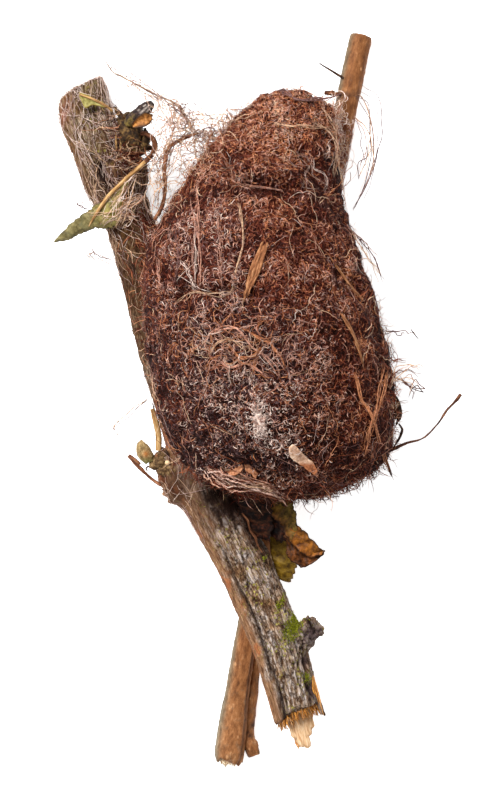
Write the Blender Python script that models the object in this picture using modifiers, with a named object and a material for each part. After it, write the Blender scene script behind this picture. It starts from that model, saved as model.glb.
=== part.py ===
"""Moth cocoon of felted brown silk, spun against a thick branch and a slender twig, lying on its back.

The frame: X to the right, Y towards the cut top end of the slender twig, Z up, away from the surface it
lies on. The origin is the middle of the flat spot on the cocoon's back, where the silk meets the surface.
Lists of places are in millimetres for reading, and mm() turns them into metres.
"""

import math

import bmesh
import bpy
from mathutils import Matrix, Vector
from mathutils.bvhtree import BVHTree

MM = 0.001
GAP = 0.35 * MM  # air between neighbouring pieces
WELD = 0.001 * MM  # points nearer than this are one point
SKY = 90.0  # higher than every piece, where a ray towards the silk starts

# Driving sizes of the cocoon.
COCOON_TOP_Y = 45.9
COCOON_BOTTOM_Y = -27.4
COCOON_RINGS = 26
COCOON_SEGMENTS = 36
KNOB_SEGMENTS = 14
KNOB_RINGS = 9

# One row for each section: y, left x, right x, back z, front z.
COCOON_SECTIONS = [
    (45.9, 3.6, 3.6, 12.0, 12.0),
    (43.2, -2.0, 11.4, 6.6, 17.6),
    (38.7, -6.6, 13.0, 3.8, 21.6),
    (31.5, -12.2, 13.6, 2.0, 26.0),
    (24.3, -17.0, 15.0, 0.2, 30.0),
    (17.1, -20.6, 16.9, -1.5, 33.4),
    (8.1, -20.9, 19.9, -2.2, 36.0),
    (-2.7, -20.0, 22.3, -2.2, 37.2),
    (-13.5, -17.7, 23.3, -1.4, 36.2),
    (-20.7, -14.6, 21.8, 2.4, 31.6),
    (-24.9, -7.5, 16.0, 6.0, 26.8),
    (-27.4, 3.6, 3.6, 16.0, 16.0),
]

# Centre line and radius of each woody piece: x, y, z, radius.
THICK_BRANCH = [
    (-32.6, 46.8, 4.3, 4.0),
    (-31.6, 42.0, 4.7, 4.6),
    (-29.2, 34.4, 5.3, 4.8),
    (-26.8, 29.0, 5.7, 5.2),
    (-24.6, 24.0, 6.0, 4.5),
    (-21.4, 13.0, 6.8, 4.4),
    (-18.0, -0.9, 7.8, 4.4),
    (-15.1, -9.9, 8.4, 4.5),
    (-12.4, -19.0, 9.0, 4.8),
    (-10.4, -25.2, 9.5, 5.4),
    (-7.6, -31.0, 9.9, 5.1),
    (-3.6, -38.7, 10.4, 4.9),
    (-0.3, -46.0, 11.1, 4.9),
    (3.3, -54.9, 11.7, 4.8),
    (6.0, -65.0, 12.4, 4.5),
]
SLENDER_TWIG = [
    (17.8, 55.2, 1.8, 1.75),
    (15.5, 44.1, 2.5, 1.8),
    (13.4, 34.0, 3.3, 1.85),
    (10.4, 17.0, 4.1, 1.9),
    (6.8, -0.9, 4.3, 1.95),
    (3.4, -18.9, 4.2, 1.95),
    (0.0, -36.9, 3.9, 2.0),
    (-3.2, -54.9, 3.2, 2.0),
    (-4.6, -63.9, 2.7, 2.05),
    (-5.6, -71.5, 2.5, 2.4),
    (-6.0, -75.0, 2.45, 2.35),
]
SIDE_TWIG = [
    (0.9, -47.5, 1.5, 0.75),
    (-0.5, -54.9, 1.2, 0.85),
    (-1.3, -63.9, 1.0, 0.9),
    (-2.0, -70.8, 0.95, 0.9),
    (-1.6, -74.0, 1.15, 1.1),
]
SIDE_SPUR = [
    (-21.6, 35.4, 10.3, 1.9),
    (-22.8, 37.9, 11.2, 1.8),
    (-24.3, 40.7, 11.9, 1.2),
]
HOOKED_PETIOLE = [
    (-20.4, 38.6, 13.6, 0.35),
    (-19.0, 37.4, 13.3, 0.4),
    (-18.6, 35.2, 12.4, 0.45),
    (-19.5, 33.2, 11.6, 0.4),
]
KNEE_SPUR = [
    (-18.7, -18.2, 11.3, 0.72),
    (-18.9, -15.2, 11.7, 0.62),
    (-20.0, -11.6, 12.2, 0.5),
]
KNEE_TWIGLET = [
    (-18.4, -25.3, 9.6, 0.4),
    (-20.4, -23.6, 9.3, 0.4),
    (-22.4, -21.4, 9.4, 0.5),
    (-24.0, -19.8, 9.8, 0.42),
]
TENDRIL = [
    (-18.6, 23.6, 15.6, 0.62),
    (-17.7, 26.4, 16.0, 0.5),
    (-17.3, 30.6, 16.6, 0.5),
    (-16.9, 34.2, 16.9, 0.55),
    (-15.2, 36.4, 17.0, 0.45),
    (-12.6, 37.4, 16.6, 0.35),
    (-10.6, 36.2, 15.2, 0.3),
]
LOOSE_STRAND = [
    (-12.8, 38.3, 16.8, 0.32),
    (-14.6, 42.6, 16.4, 0.34),
    (-17.0, 44.2, 15.8, 0.26),
    (-21.4, 46.6, 15.0, 0.22),
    (-26.6, 49.2, 14.2, 0.2),
]
GRASS_STEM = [
    (22.9, -19.0, 18.6, 0.32),
    (26.0, -18.2, 18.9, 0.28),
    (29.6, -16.4, 18.0, 0.22),
    (32.2, -12.8, 16.6, 0.2),
    (34.0, -10.6, 15.4, 0.3),
    (35.7, -9.0, 14.6, 0.36),
]
TOP_THORN = [
    (14.8, 48.7, 3.8, 0.3),
    (12.4, 50.0, 4.6, 0.22),
    (10.3, 51.4, 5.0, 0.2),
]
SIDE_THORN = [
    (13.9, 45.7, 4.1, 0.35),
    (12.9, 45.8, 4.8, 0.45),
    (11.6, 45.9, 5.2, 0.4),
]

# Knobs that grew with the thick branch: x, y, z, then the radii along X, Y and Z, and the turn about Z.
BRANCH_KNOBS = [
    ("fork_collar", (-23.8, 31.2, 7.4), (3.2, 4.4, 3.6), 20.0),
    ("knee_swelling", (-14.2, -22.6, 9.8), (4.4, 3.0, 3.6), -35.0),
    ("knee_knob", (-17.6, -20.9, 10.4), (2.3, 2.0, 2.2), -35.0),
    ("burr_neck", (6.6, -53.0, 12.4), (3.0, 2.8, 3.0), 20.0),
    ("burr", (8.9, -51.0, 12.8), (2.1, 2.4, 2.2), 30.0),
]
KNEE_BUD = (-21.1, -19.3, 11.3), (1.3, 1.9, 1.3), -20.0
KNOBS_IN_SILK = 3  # the first ones lie close to the cocoon, which gives way to them
# The splinters of the torn end: base centre, tip, half width, half thickness at the base.
SPLINTERS = [
    ("core_splinter", (5.8, -63.5, 12.3), (6.7, -72.4, 12.6), 2.4, 1.5),
    ("side_splinter", (8.6, -62.0, 12.6), (11.4, -66.6, 12.8), 1.3, 1.1),
]

# Thin pieces: rows of x, y, z and half width, then the thickness and how far the edges curl down.
LEFT_LEAF = [
    (-20.9, 32.8, 11.9, 0.35),
    (-24.6, 29.0, 12.2, 1.0),
    (-28.0, 24.8, 12.4, 2.6),
    (-31.6, 21.6, 11.2, 2.3),
    (-35.0, 19.6, 9.8, 1.2),
    (-37.4, 18.8, 9.0, 0.25),
]
GREEN_SLIVER = [
    (-32.8, 45.2, 9.6, 0.3),
    (-30.8, 44.2, 10.0, 0.8),
    (-28.6, 43.4, 10.0, 0.4),
    (-26.6, 42.2, 9.4, 0.25),
]
DRY_LEAF = [
    (1.0, -28.4, 14.0, 2.0),
    (3.0, -32.6, 15.2, 2.6),
    (6.0, -36.0, 16.6, 2.8),
    (8.6, -37.4, 17.2, 2.6),
    (11.0, -37.0, 16.6, 1.2),
]
GREEN_LEAF = [
    (3.3, -31.6, 9.6, 0.6),
    (3.7, -35.4, 9.2, 1.6),
    (4.0, -38.8, 8.8, 1.9),
    (4.4, -42.4, 8.6, 0.4),
]
DEAD_BUD = [
    (-24.2, 40.4, 14.0, 0.5),
    (-22.5, 41.9, 14.4, 1.5),
    (-20.6, 43.0, 14.7, 1.3),
    (-19.2, 43.8, 14.8, 0.4),
]
BUD_SCALE = [
    (-23.4, 38.8, 16.3, 0.7),
    (-21.5, 39.7, 17.0, 1.4),
    (-19.5, 40.2, 17.0, 1.2),
    (-18.2, 40.5, 16.5, 0.4),
]
# The same for pieces that lie on the silk: x, y and half width, their height is found on the cocoon.
STRAW_FRONT = [(1.1, 18.8, 0.5), (0.2, 14.9, 0.8), (-1.4, 11.2, 0.7), (-2.7, 7.9, 0.2)]
STRAW_UPPER = [(11.6, 15.0, 0.2), (13.7, 11.6, 0.3), (15.9, 8.3, 0.35), (17.6, 5.9, 0.25)]
STRAW_LOWER = [(13.6, 5.2, 0.3), (15.4, 2.2, 0.55), (17.1, -1.2, 0.5), (17.9, -5.8, 0.2)]
PAPERY_SCRAP = [(5.2, -17.8, 0.6), (6.4, -19.6, 1.6), (8.2, -21.6, 1.5), (9.6, -23.0, 0.5)]
# The papery strip hangs on the cocoon's lower rim, so its height is given.
PAPERY_STRIP = [
    (-9.8, -23.2, 24.2, 0.5),
    (-5.6, -25.0, 26.2, 1.4),
    (-0.6, -27.0, 26.0, 1.2),
    (3.4, -28.6, 24.0, 0.4),
]
DARK_SLIVER = [
    (24.0, -9.2, 17.6, 0.25),
    (25.0, -11.8, 17.2, 0.45),
    (25.4, -14.4, 17.6, 0.4),
    (24.6, -16.6, 18.2, 0.2),
]

PART = "silk_cocoon_on_twigs"
HELPERS = "helpers"

# name: colour, roughness
FINISHES = {
    "silk": ((0.16, 0.075, 0.05), 0.85),
    "grey_bark": ((0.28, 0.22, 0.17), 0.85),
    "brown_bark": ((0.32, 0.17, 0.09), 0.7),
    "dark_bark": ((0.07, 0.045, 0.035), 0.85),
    "green_leaf": ((0.22, 0.19, 0.07), 0.6),
    "brown_leaf": ((0.24, 0.11, 0.05), 0.65),
    "pale_paper": ((0.5, 0.32, 0.23), 0.75),
    "straw": ((0.46, 0.27, 0.12), 0.6),
    "pale_bud": ((0.38, 0.3, 0.17), 0.7),
}


def mm(x, y, z):
    return Vector((x, y, z)) * MM


def clear_scene():
    for obj in list(bpy.data.objects):
        bpy.data.objects.remove(obj)


def collection(name):
    made = bpy.data.collections.new(name)
    bpy.context.scene.collection.children.link(made)
    return made


def material(name):
    """The finish of that name, made once."""
    if name in bpy.data.materials:
        return bpy.data.materials[name]
    colour, roughness = FINISHES[name]
    made = bpy.data.materials.new(name)
    made.use_nodes = True
    shader = made.node_tree.nodes["Principled BSDF"]
    shader.inputs["Base Color"].default_value = (*colour, 1.0)
    shader.inputs["Roughness"].default_value = roughness
    shader.inputs["Metallic"].default_value = 0.0
    made.diffuse_color = (*colour, 1.0)
    return made


def place(data, name, finish=None):
    """An object of this data: a piece with its finish or, without one, a helper that a render leaves out."""
    obj = bpy.data.objects.new(name, data)
    if finish:
        bpy.data.collections[PART].objects.link(obj)
        data.materials.append(material(finish))
    else:
        bpy.data.collections[HELPERS].objects.link(obj)
        obj.hide_render = True
        obj.display_type = "WIRE"
    return obj


def smooth_rows(rows, count):
    """count rows on a Catmull-Rom curve through the given rows, first and last ones included."""
    made = []
    for i in range(count):
        along = i / (count - 1) * (len(rows) - 1)
        k = min(int(along), len(rows) - 2)
        t = along - k
        before, here = rows[max(k - 1, 0)], rows[k]
        after, beyond = rows[k + 1], rows[min(k + 2, len(rows) - 1)]
        made.append(
            [
                0.5 * (2 * b + (c - a) * t + (2 * a - 5 * b + 4 * c - d) * t**2 + (3 * b - a - 3 * c + d) * t**3)
                for a, b, c, d in zip(before, here, after, beyond)
            ]
        )
    return made


def mesh_of(obj):
    """The evaluated mesh of a curve object, its caps welded to its sides. The curve itself is removed."""
    graph = bpy.context.evaluated_depsgraph_get()
    mesh = bpy.data.meshes.new_from_object(obj.evaluated_get(graph))
    shape = bmesh.new()
    shape.from_mesh(mesh)
    bmesh.ops.remove_doubles(shape, verts=shape.verts, dist=WELD)
    shape.to_mesh(mesh)
    shape.free()
    bpy.data.objects.remove(obj)
    return mesh


def tube(name, rows, count, sides, extra=0.0):
    """The mesh of a stem along x, y, z, radius rows; extra is added to every radius."""
    curve = bpy.data.curves.new(name + "_line", "CURVE")
    curve.dimensions = "3D"
    curve.bevel_depth = MM
    curve.bevel_resolution = sides // 2 - 2
    curve.use_fill_caps = True
    line = curve.splines.new("POLY")
    stations = smooth_rows(rows, count)
    line.points.add(len(stations) - 1)
    for point, (x, y, z, radius) in zip(line.points, stations):
        point.co = (*mm(x, y, z), 1.0)
        point.radius = radius + extra / MM
    return mesh_of(place(curve, name + "_line"))


def stem(name, rows, count, finish, sides=8):
    return place(tube(name, rows, count, sides), name, finish)


def ellipsoid(name, centre, radii, turn, finish=None):
    """A sphere stretched to these radii and turned about Z, by turn degrees."""
    shape = bmesh.new()
    size = Matrix.Diagonal(mm(*radii).to_4d())
    spin = Matrix.Rotation(math.radians(turn), 4, "Z")
    bmesh.ops.create_uvsphere(
        shape,
        u_segments=KNOB_SEGMENTS,
        v_segments=KNOB_RINGS,
        radius=1.0,
        matrix=Matrix.Translation(mm(*centre)) @ spin @ size,
    )
    mesh = bpy.data.meshes.new(name)
    shape.to_mesh(mesh)
    shape.free()
    return place(mesh, name, finish)


def boolean(obj, operation, other):
    cut = obj.modifiers.new(operation.lower() + "_" + other.name, "BOOLEAN")
    cut.operation = operation
    cut.solver = "EXACT"
    cut.object = other


def section_at(angle):
    """y, left x, right x, back z and front z at this angle from the cocoon's top pole."""
    length = COCOON_TOP_Y - COCOON_BOTTOM_Y
    keys = [math.acos(1 - 2 * min(max((COCOON_TOP_Y - row[0]) / length, 0), 1)) for row in COCOON_SECTIONS]
    k = max(i for i, key in enumerate(keys[:-1]) if key <= angle + 1e-9)
    t = (angle - keys[k]) / (keys[k + 1] - keys[k])
    # Tangents by finite differences on the uneven keys, so that the outline has no kink.
    values = []
    for column in range(1, 5):
        here, after = COCOON_SECTIONS[k][column], COCOON_SECTIONS[k + 1][column]
        slopes = []
        for i in (k, k + 1):
            low, high = max(i - 1, 0), min(i + 1, len(keys) - 1)
            slopes.append((COCOON_SECTIONS[high][column] - COCOON_SECTIONS[low][column]) / (keys[high] - keys[low]))
        step = keys[k + 1] - keys[k]
        values.append(
            (2 * t**3 - 3 * t**2 + 1) * here
            + (t**3 - 2 * t**2 + t) * step * slopes[0]
            + (3 * t**2 - 2 * t**3) * after
            + (t**3 - t**2) * step * slopes[1]
        )
    y = COCOON_TOP_Y - length * (1 - math.cos(angle)) / 2
    return [y, *values]


def cocoon_body():
    """A sphere with its poles on Y, each ring fitted to the cocoon's section there."""
    shape = bmesh.new()
    bmesh.ops.create_uvsphere(shape, u_segments=COCOON_SEGMENTS, v_segments=COCOON_RINGS, radius=1.0)
    for vertex in shape.verts:
        angle = math.acos(min(max(vertex.co.z, -1.0), 1.0))
        around = math.atan2(vertex.co.y, vertex.co.x)
        y, left, right, back, front = section_at(min(angle, math.pi - 1e-6))
        x = (left + right) / 2 + (right - left) / 2 * math.cos(around)
        z = (back + front) / 2 + (front - back) / 2 * math.sin(around)
        vertex.co = mm(x, y, z)
    bmesh.ops.recalc_face_normals(shape, faces=shape.faces)
    mesh = bpy.data.meshes.new("cocoon")
    shape.to_mesh(mesh)
    shape.free()
    return place(mesh, "cocoon", "silk")


def floor_cutter():
    """A block whose top is the plane that the cocoon's flat spot lies on."""
    shape = bmesh.new()
    side, height = 200 * MM, 40 * MM
    size = Matrix.Diagonal((side, side, height, 1.0))
    bmesh.ops.create_cube(shape, size=1.0, matrix=Matrix.Translation((0, 0, -height / 2)) @ size)
    mesh = bpy.data.meshes.new("floor_cutter")
    shape.to_mesh(mesh)
    shape.free()
    return place(mesh, "floor_cutter")


def make_cocoon():
    """The silk envelope, with the channels that the two stems lie in and the flat spot on its back."""
    cocoon = cocoon_body()
    for name, rows, sides in (("thick_channel", THICK_BRANCH, 16), ("slender_channel", SLENDER_TWIG, 12)):
        boolean(cocoon, "DIFFERENCE", place(tube(name, rows, 3 * len(rows), sides, extra=GAP), name))
    for name, centre, radii, turn in BRANCH_KNOBS[:KNOBS_IN_SILK]:
        grown = [radius + GAP / MM for radius in radii]
        boolean(cocoon, "DIFFERENCE", ellipsoid(name + "_clearance", centre, grown, turn))
    boolean(cocoon, "DIFFERENCE", floor_cutter())
    return cocoon


def splinter(name, base, tip, half_width, half_thickness):
    """A four-sided wedge of torn wood, narrowing from base to tip."""
    axis = mm(*tip) - mm(*base)
    shape = bmesh.new()
    bmesh.ops.create_cone(
        shape,
        cap_ends=True,
        segments=6,
        radius1=half_width * MM,
        radius2=0.3 * half_width * MM,
        depth=axis.length,
    )
    flatten = Matrix.Diagonal((1.0, half_thickness / half_width, 1.0, 1.0))
    turn = axis.to_track_quat("Z", "Y").to_matrix().to_4x4()
    bmesh.ops.transform(
        shape, verts=shape.verts, matrix=Matrix.Translation(mm(*base) + axis / 2) @ turn @ flatten
    )
    mesh = bpy.data.meshes.new(name)
    shape.to_mesh(mesh)
    shape.free()
    return place(mesh, name)


def make_thick_branch():
    """The main branch: one grown piece with its collar, knee, burr and torn end."""
    branch = stem("thick_branch", THICK_BRANCH, 34, "grey_bark", sides=16)
    for name, centre, radii, turn in BRANCH_KNOBS:
        boolean(branch, "UNION", ellipsoid(name, centre, radii, turn))
    for row in SPLINTERS:
        boolean(branch, "UNION", splinter(*row))
    return branch


def sheet(name, rows, count, across, ups, finish, thickness, curl):
    """A thin leaf-like piece: a grid laid along the rows, its edges curled down, then given a thickness."""
    shape = bmesh.new()
    bmesh.ops.create_grid(shape, x_segments=count - 1, y_segments=across, size=1.0)
    stations = smooth_rows(rows, count)
    places = [mm(*row[:3]) for row in stations]
    for vertex in shape.verts:
        k = round((vertex.co.x + 1) / 2 * (count - 1))
        along = (places[min(k + 1, count - 1)] - places[max(k - 1, 0)]).normalized()
        up = ups(places[k])
        side = along.cross(up).normalized()
        half = max(stations[k][3], 0.15) * MM
        vertex.co = places[k] + side * (vertex.co.y * half) - up * (curl * half * vertex.co.y**2)
    mesh = bpy.data.meshes.new(name)
    shape.to_mesh(mesh)
    shape.free()
    obj = place(mesh, name, finish)
    solid = obj.modifiers.new("thickness", "SOLIDIFY")
    solid.thickness = thickness * MM
    solid.offset = 0.0
    return obj


def straight_up(_place):
    return Vector((0.0, 0.0, 1.0))


def on_silk(tree, rows, lift):
    """Rows of x, y, z, half width for x, y, half width rows that lie on the front of the cocoon."""
    placed = []
    for x, y, half in smooth_rows(rows, 7):
        hit, normal, _index, _distance = tree.ray_cast(mm(x, y, SKY), Vector((0, 0, -1)))
        spot = (hit + normal * lift) / MM
        placed.append((*spot, half))
    return placed


def silk_normal(tree):
    def normal_at(spot):
        return tree.find_nearest(spot)[1]

    return normal_at


def make_trim(cocoon):
    """Straws and papery scraps caught in the front of the silk."""
    tree = BVHTree.FromObject(cocoon, bpy.context.evaluated_depsgraph_get())
    lift = 0.85 * MM
    for name, rows, finish, thickness in (
        ("straw_front", STRAW_FRONT, "straw", 0.5),
        ("straw_upper", STRAW_UPPER, "straw", 0.4),
        ("straw_lower", STRAW_LOWER, "straw", 0.5),
        ("papery_scrap", PAPERY_SCRAP, "pale_paper", 0.4),
    ):
        sheet(name, on_silk(tree, rows, lift), 9, 2, silk_normal(tree), finish, thickness, 0.0)
    sheet("papery_strip", PAPERY_STRIP, 9, 2, silk_normal(tree), "pale_paper", 0.4, 0.0)


def make_leaves():
    sheet("left_leaf", LEFT_LEAF, 13, 4, straight_up, "green_leaf", 0.5, 0.35)
    sheet("green_sliver", GREEN_SLIVER, 7, 2, straight_up, "green_leaf", 0.4, 0.2)
    sheet("dry_leaf", DRY_LEAF, 11, 4, straight_up, "brown_leaf", 0.6, 0.7)
    sheet("green_leaf", GREEN_LEAF, 9, 4, straight_up, "green_leaf", 0.5, 0.4)
    sheet("bud_scale", BUD_SCALE, 7, 4, straight_up, "brown_leaf", 0.5, 0.6)
    sheet("dark_sliver", DARK_SLIVER, 7, 2, straight_up, "dark_bark", 0.35, 0.2)


def make_stems():
    stem("slender_twig", SLENDER_TWIG, 26, "brown_bark", sides=12)
    stem("side_twig", SIDE_TWIG, 10, "brown_bark", sides=8)
    stem("side_spur", SIDE_SPUR, 6, "dark_bark", sides=10)
    stem("dead_bud", DEAD_BUD, 9, "dark_bark", sides=10)
    stem("hooked_petiole", HOOKED_PETIOLE, 8, "brown_bark")
    stem("knee_spur", KNEE_SPUR, 5, "straw")
    stem("knee_twiglet", KNEE_TWIGLET, 7, "dark_bark")
    stem("tendril", TENDRIL, 16, "brown_bark")
    stem("loose_strand", LOOSE_STRAND, 10, "pale_paper")
    stem("grass_stem", GRASS_STEM, 12, "straw")
    stem("top_thorn", TOP_THORN, 4, "dark_bark")
    stem("side_thorn", SIDE_THORN, 4, "dark_bark")
    ellipsoid("knee_bud", *KNEE_BUD, "pale_bud")


def main():
    clear_scene()
    collection(PART)
    collection(HELPERS)
    cocoon = make_cocoon()
    make_thick_branch()
    make_stems()
    make_leaves()
    make_trim(cocoon)


main()
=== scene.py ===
"""The looks of a felted silk cocoon on its two twigs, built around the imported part.

Places in tables are in millimetres, in the part's frame: X right, Y up in the picture, Z towards the camera.
Every piece is mesh. The felt is thousands of tapering fibres that creep over the cocoon's surface.
"""
import math

import bmesh
import bpy
import numpy as np
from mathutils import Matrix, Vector, noise
from mathutils.bvhtree import BVHTree


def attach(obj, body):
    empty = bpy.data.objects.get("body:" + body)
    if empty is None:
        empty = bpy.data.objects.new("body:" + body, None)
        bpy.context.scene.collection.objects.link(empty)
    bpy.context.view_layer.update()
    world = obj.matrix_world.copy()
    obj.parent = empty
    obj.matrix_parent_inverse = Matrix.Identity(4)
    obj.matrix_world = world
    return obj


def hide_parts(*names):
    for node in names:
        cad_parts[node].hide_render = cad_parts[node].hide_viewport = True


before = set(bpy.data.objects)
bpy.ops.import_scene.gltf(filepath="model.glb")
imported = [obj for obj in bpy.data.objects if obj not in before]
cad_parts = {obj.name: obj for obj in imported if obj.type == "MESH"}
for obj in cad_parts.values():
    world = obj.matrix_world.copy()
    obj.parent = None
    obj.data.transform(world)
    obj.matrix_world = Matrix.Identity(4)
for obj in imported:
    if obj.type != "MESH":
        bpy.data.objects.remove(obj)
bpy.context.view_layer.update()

MM = 0.001
UP = np.array((0.0, 0.0, 1.0))

# The camera looks straight down. It frames this many millimetres, from top to bottom, at the centre's level.
VIEW_CENTRE = (-2.16, -9.81, 12.0)
VIEW_HEIGHT = 143.8
LENS = 180.0
SENSOR = 36.0
EYE = np.array(VIEW_CENTRE) + UP * VIEW_HEIGHT * LENS / SENSOR

# The two stems' centre lines, as the part has them.
THICK_LINE = [
    (-32.6, 46.8, 4.3),
    (-31.6, 42.0, 4.7),
    (-29.2, 34.4, 5.3),
    (-24.6, 24.0, 6.0),
    (-21.4, 13.0, 6.8),
    (-18.0, -0.9, 7.8),
    (-12.4, -19.0, 9.0),
    (-7.6, -31.0, 9.9),
    (-3.6, -38.7, 10.4),
    (3.3, -54.9, 11.7),
    (6.0, -65.0, 12.4),
]
SLENDER_LINE = [
    (17.8, 55.2, 1.8),
    (13.4, 34.0, 3.3),
    (10.4, 17.0, 4.1),
    (3.4, -18.9, 4.2),
    (-3.2, -54.9, 3.2),
    (-5.6, -71.5, 2.5),
    (-6.0, -75.0, 2.45),
]

# Colours as they look in daylight, red, green and blue from 0 to 255, from dark to light.
SILKS = {
    "soot": (42, 12, 6),
    "shade": (56, 43, 45),
    "umber": (68, 26, 15),
    "maroon": (96, 41, 27),
    "red_brown": (130, 67, 46),
    "ash": (108, 88, 90),
    "mauve": (128, 94, 88),
    "rust": (166, 93, 61),
    "orange": (208, 140, 96),
    "pink": (212, 160, 138),
    "grey": (194, 168, 160),
    "tan": (228, 188, 150),
    "pale": (238, 216, 202),
    "white": (255, 234, 222),
}
SILK_NAMES = list(SILKS)
SILK_LIGHT = np.array([sum(colour) / 765 for colour in SILKS.values()])


# ---------------------------------------------------------------- numbers


def srgb(red, green, blue):
    """Linear colour of a daylight one."""
    return tuple(((c / 255 + 0.055) / 1.055) ** 2.4 if c > 10 else c / 3295 for c in (red, green, blue))


def unit(vectors):
    """Vectors of length 1."""
    return vectors / np.maximum(np.linalg.norm(vectors, axis=-1, keepdims=True), 1e-12)


def ease(values, low, high):
    """0 below low, 1 above high, and a smooth step between them."""
    t = np.clip((values - low) / (high - low), 0, 1)
    return t * t * (3 - 2 * t)


def fall(values, low, high):
    """1 below low, 0 above high, and a smooth step between them."""
    return ease(-values, -high, -low)


def bell(values, middle, width):
    """1 at the middle, about a third at width from it, and 0 far away."""
    return np.exp(-(((values - middle) / width) ** 2))


def blob(places, centre, reach, turn=0.0):
    """A bell seen from the front: its centre and reach are in millimetres, its turn in degrees."""
    away = places[..., :2] / MM - np.array(centre)
    c, s = math.cos(math.radians(turn)), math.sin(math.radians(turn))
    across, along = away[..., 0] * c + away[..., 1] * s, away[..., 1] * c - away[..., 0] * s
    return np.exp(-((across / reach[0]) ** 2) - (along / reach[1]) ** 2)


def lump(places, centre, reach):
    """1 around a centre in millimetres, dropping fast to 0 past its reach."""
    return np.exp(-((np.linalg.norm(places / MM - centre, axis=1) / reach) ** 4))


def arch(count):
    """0 at both ends of a line and 1 at its middle, for each of its stations."""
    return np.sin(math.pi * np.linspace(0, 1, count))


def smooth_line(points, count):
    """Places on a Catmull-Rom curve through the given rows. count may list how far along each one lies."""
    rows = np.array(points, float)
    share = np.linspace(0, 1, count) if isinstance(count, int) else count
    along = share * (len(rows) - 1)
    k = np.minimum(along.astype(int), len(rows) - 2)
    t = (along - k)[:, None]
    a, b = rows[np.maximum(k - 1, 0)], rows[k]
    c, d = rows[k + 1], rows[np.minimum(k + 2, len(rows) - 1)]
    return 0.5 * (2 * b + (c - a) * t + (2 * a - 5 * b + 4 * c - d) * t**2 + (3 * b - a - 3 * c + d) * t**3)


def rough(points, grain, depth, seed):
    """Fractal noise at each point. grain is the size of its largest lumps, which may differ by axis."""
    scaled = points / np.array(grain) + seed * np.array((1.0, 2.3, -1.7))
    return np.array([noise.fractal(p, 1.0, 2.0, depth) for p in scaled.reshape(-1, 3).tolist()])


def ridges(points, grain, depth, seed):
    """1 along thin crooked lines, falling to 0 away from them."""
    return np.clip(1 - 2.5 * np.abs(rough(points, grain, depth, seed)), 0, 1)


def round_line(points, line):
    """Where points lie about a line in millimetres: distance along it, angle from its top, and radius.

    The angle grows from the top towards the right side of a line that runs down the picture.
    """
    line = np.array(line, float) * MM
    start, step = line[:-1], np.diff(line, axis=0)
    length = np.linalg.norm(step, axis=1)
    before = np.concatenate(([0.0], np.cumsum(length)[:-1]))
    t = np.einsum("psk,sk->ps", points[:, None] - start, step) / length**2
    low, high = np.zeros(len(step)), np.ones(len(step))
    low[0], high[-1] = -np.inf, np.inf
    t = np.clip(t, low, high)
    away = points[:, None] - (start + t[..., None] * step)
    near = np.linalg.norm(away, axis=2).argmin(axis=1)
    row = np.arange(len(points))
    away, t = away[row, near], t[row, near]
    ahead = unit(step)[near]
    right = unit(np.cross(UP, ahead))
    top = np.cross(ahead, right)
    angle = np.arctan2((away * right).sum(1), (away * top).sum(1))
    return before[near] + t * length[near], angle, np.linalg.norm(away, axis=1)


def grain_of(places, line):
    """Coordinates in millimetres that follow a stem, for streaks along it, and the angle from its top."""
    length, angle, radius = round_line(places, line)
    return np.stack((radius * np.sin(angle), radius * np.cos(angle), length), axis=1) / MM, np.degrees(angle)


# ---------------------------------------------------------------- meshes


def mesh_of(name, corners, triangles):
    """A smooth-shaded mesh of triangles."""
    mesh = bpy.data.meshes.new(name)
    mesh.vertices.add(len(corners))
    mesh.vertices.foreach_set("co", np.ascontiguousarray(corners, np.float32).ravel())
    mesh.loops.add(3 * len(triangles))
    mesh.loops.foreach_set("vertex_index", np.ascontiguousarray(triangles, np.int32).ravel())
    mesh.polygons.add(len(triangles))
    mesh.polygons.foreach_set("loop_start", np.arange(0, 3 * len(triangles), 3, dtype=np.int32))
    mesh.polygons.foreach_set("use_smooth", np.ones(len(triangles), bool))
    mesh.update(calc_edges=True)
    return mesh


def mark(mesh, **layers):
    """Stores numbers, or vectors, at each vertex under their names, for the shader to read."""
    for name, values in layers.items():
        kind, key = ("FLOAT", "value") if values.ndim == 1 else ("FLOAT_VECTOR", "vector")
        layer = mesh.attributes.new(name, kind, "POINT")
        layer.data.foreach_set(key, np.ascontiguousarray(values, np.float32).ravel())


def across_tubes(ahead, ups):
    """The direction across each tube at each station. Without ups it is carried along free of twist."""
    if ups is not None:
        return unit(np.cross(ahead, ups))
    side = np.empty_like(ahead)
    least = np.eye(3)[np.abs(ahead[:, 0]).argmin(axis=1)]
    turned = unit(np.cross(ahead[:, 0], least))
    for k in range(ahead.shape[1]):
        turned = unit(turned - ahead[:, k] * (turned * ahead[:, k]).sum(1, keepdims=True))
        side[:, k] = turned
    return side


def tube_faces(stations, sides):
    """The triangles of one tube: its first and its last corner are points, with rings between them."""
    here = np.arange(sides if sides > 2 else 1)
    after = (here + 1) % sides
    last = 1 + sides * (stations - 2)
    faces = [np.stack((np.zeros_like(here), 1 + after, 1 + here), axis=1)]
    for k in range(stations - 3):
        ring = 1 + sides * k
        faces.append(np.stack((ring + here, ring + after, ring + sides + after), axis=1))
        faces.append(np.stack((ring + here, ring + sides + after, ring + sides + here), axis=1))
    faces.append(np.stack((last - sides + here, last - sides + after, np.full_like(here, last)), axis=1))
    return np.concatenate(faces)


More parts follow.
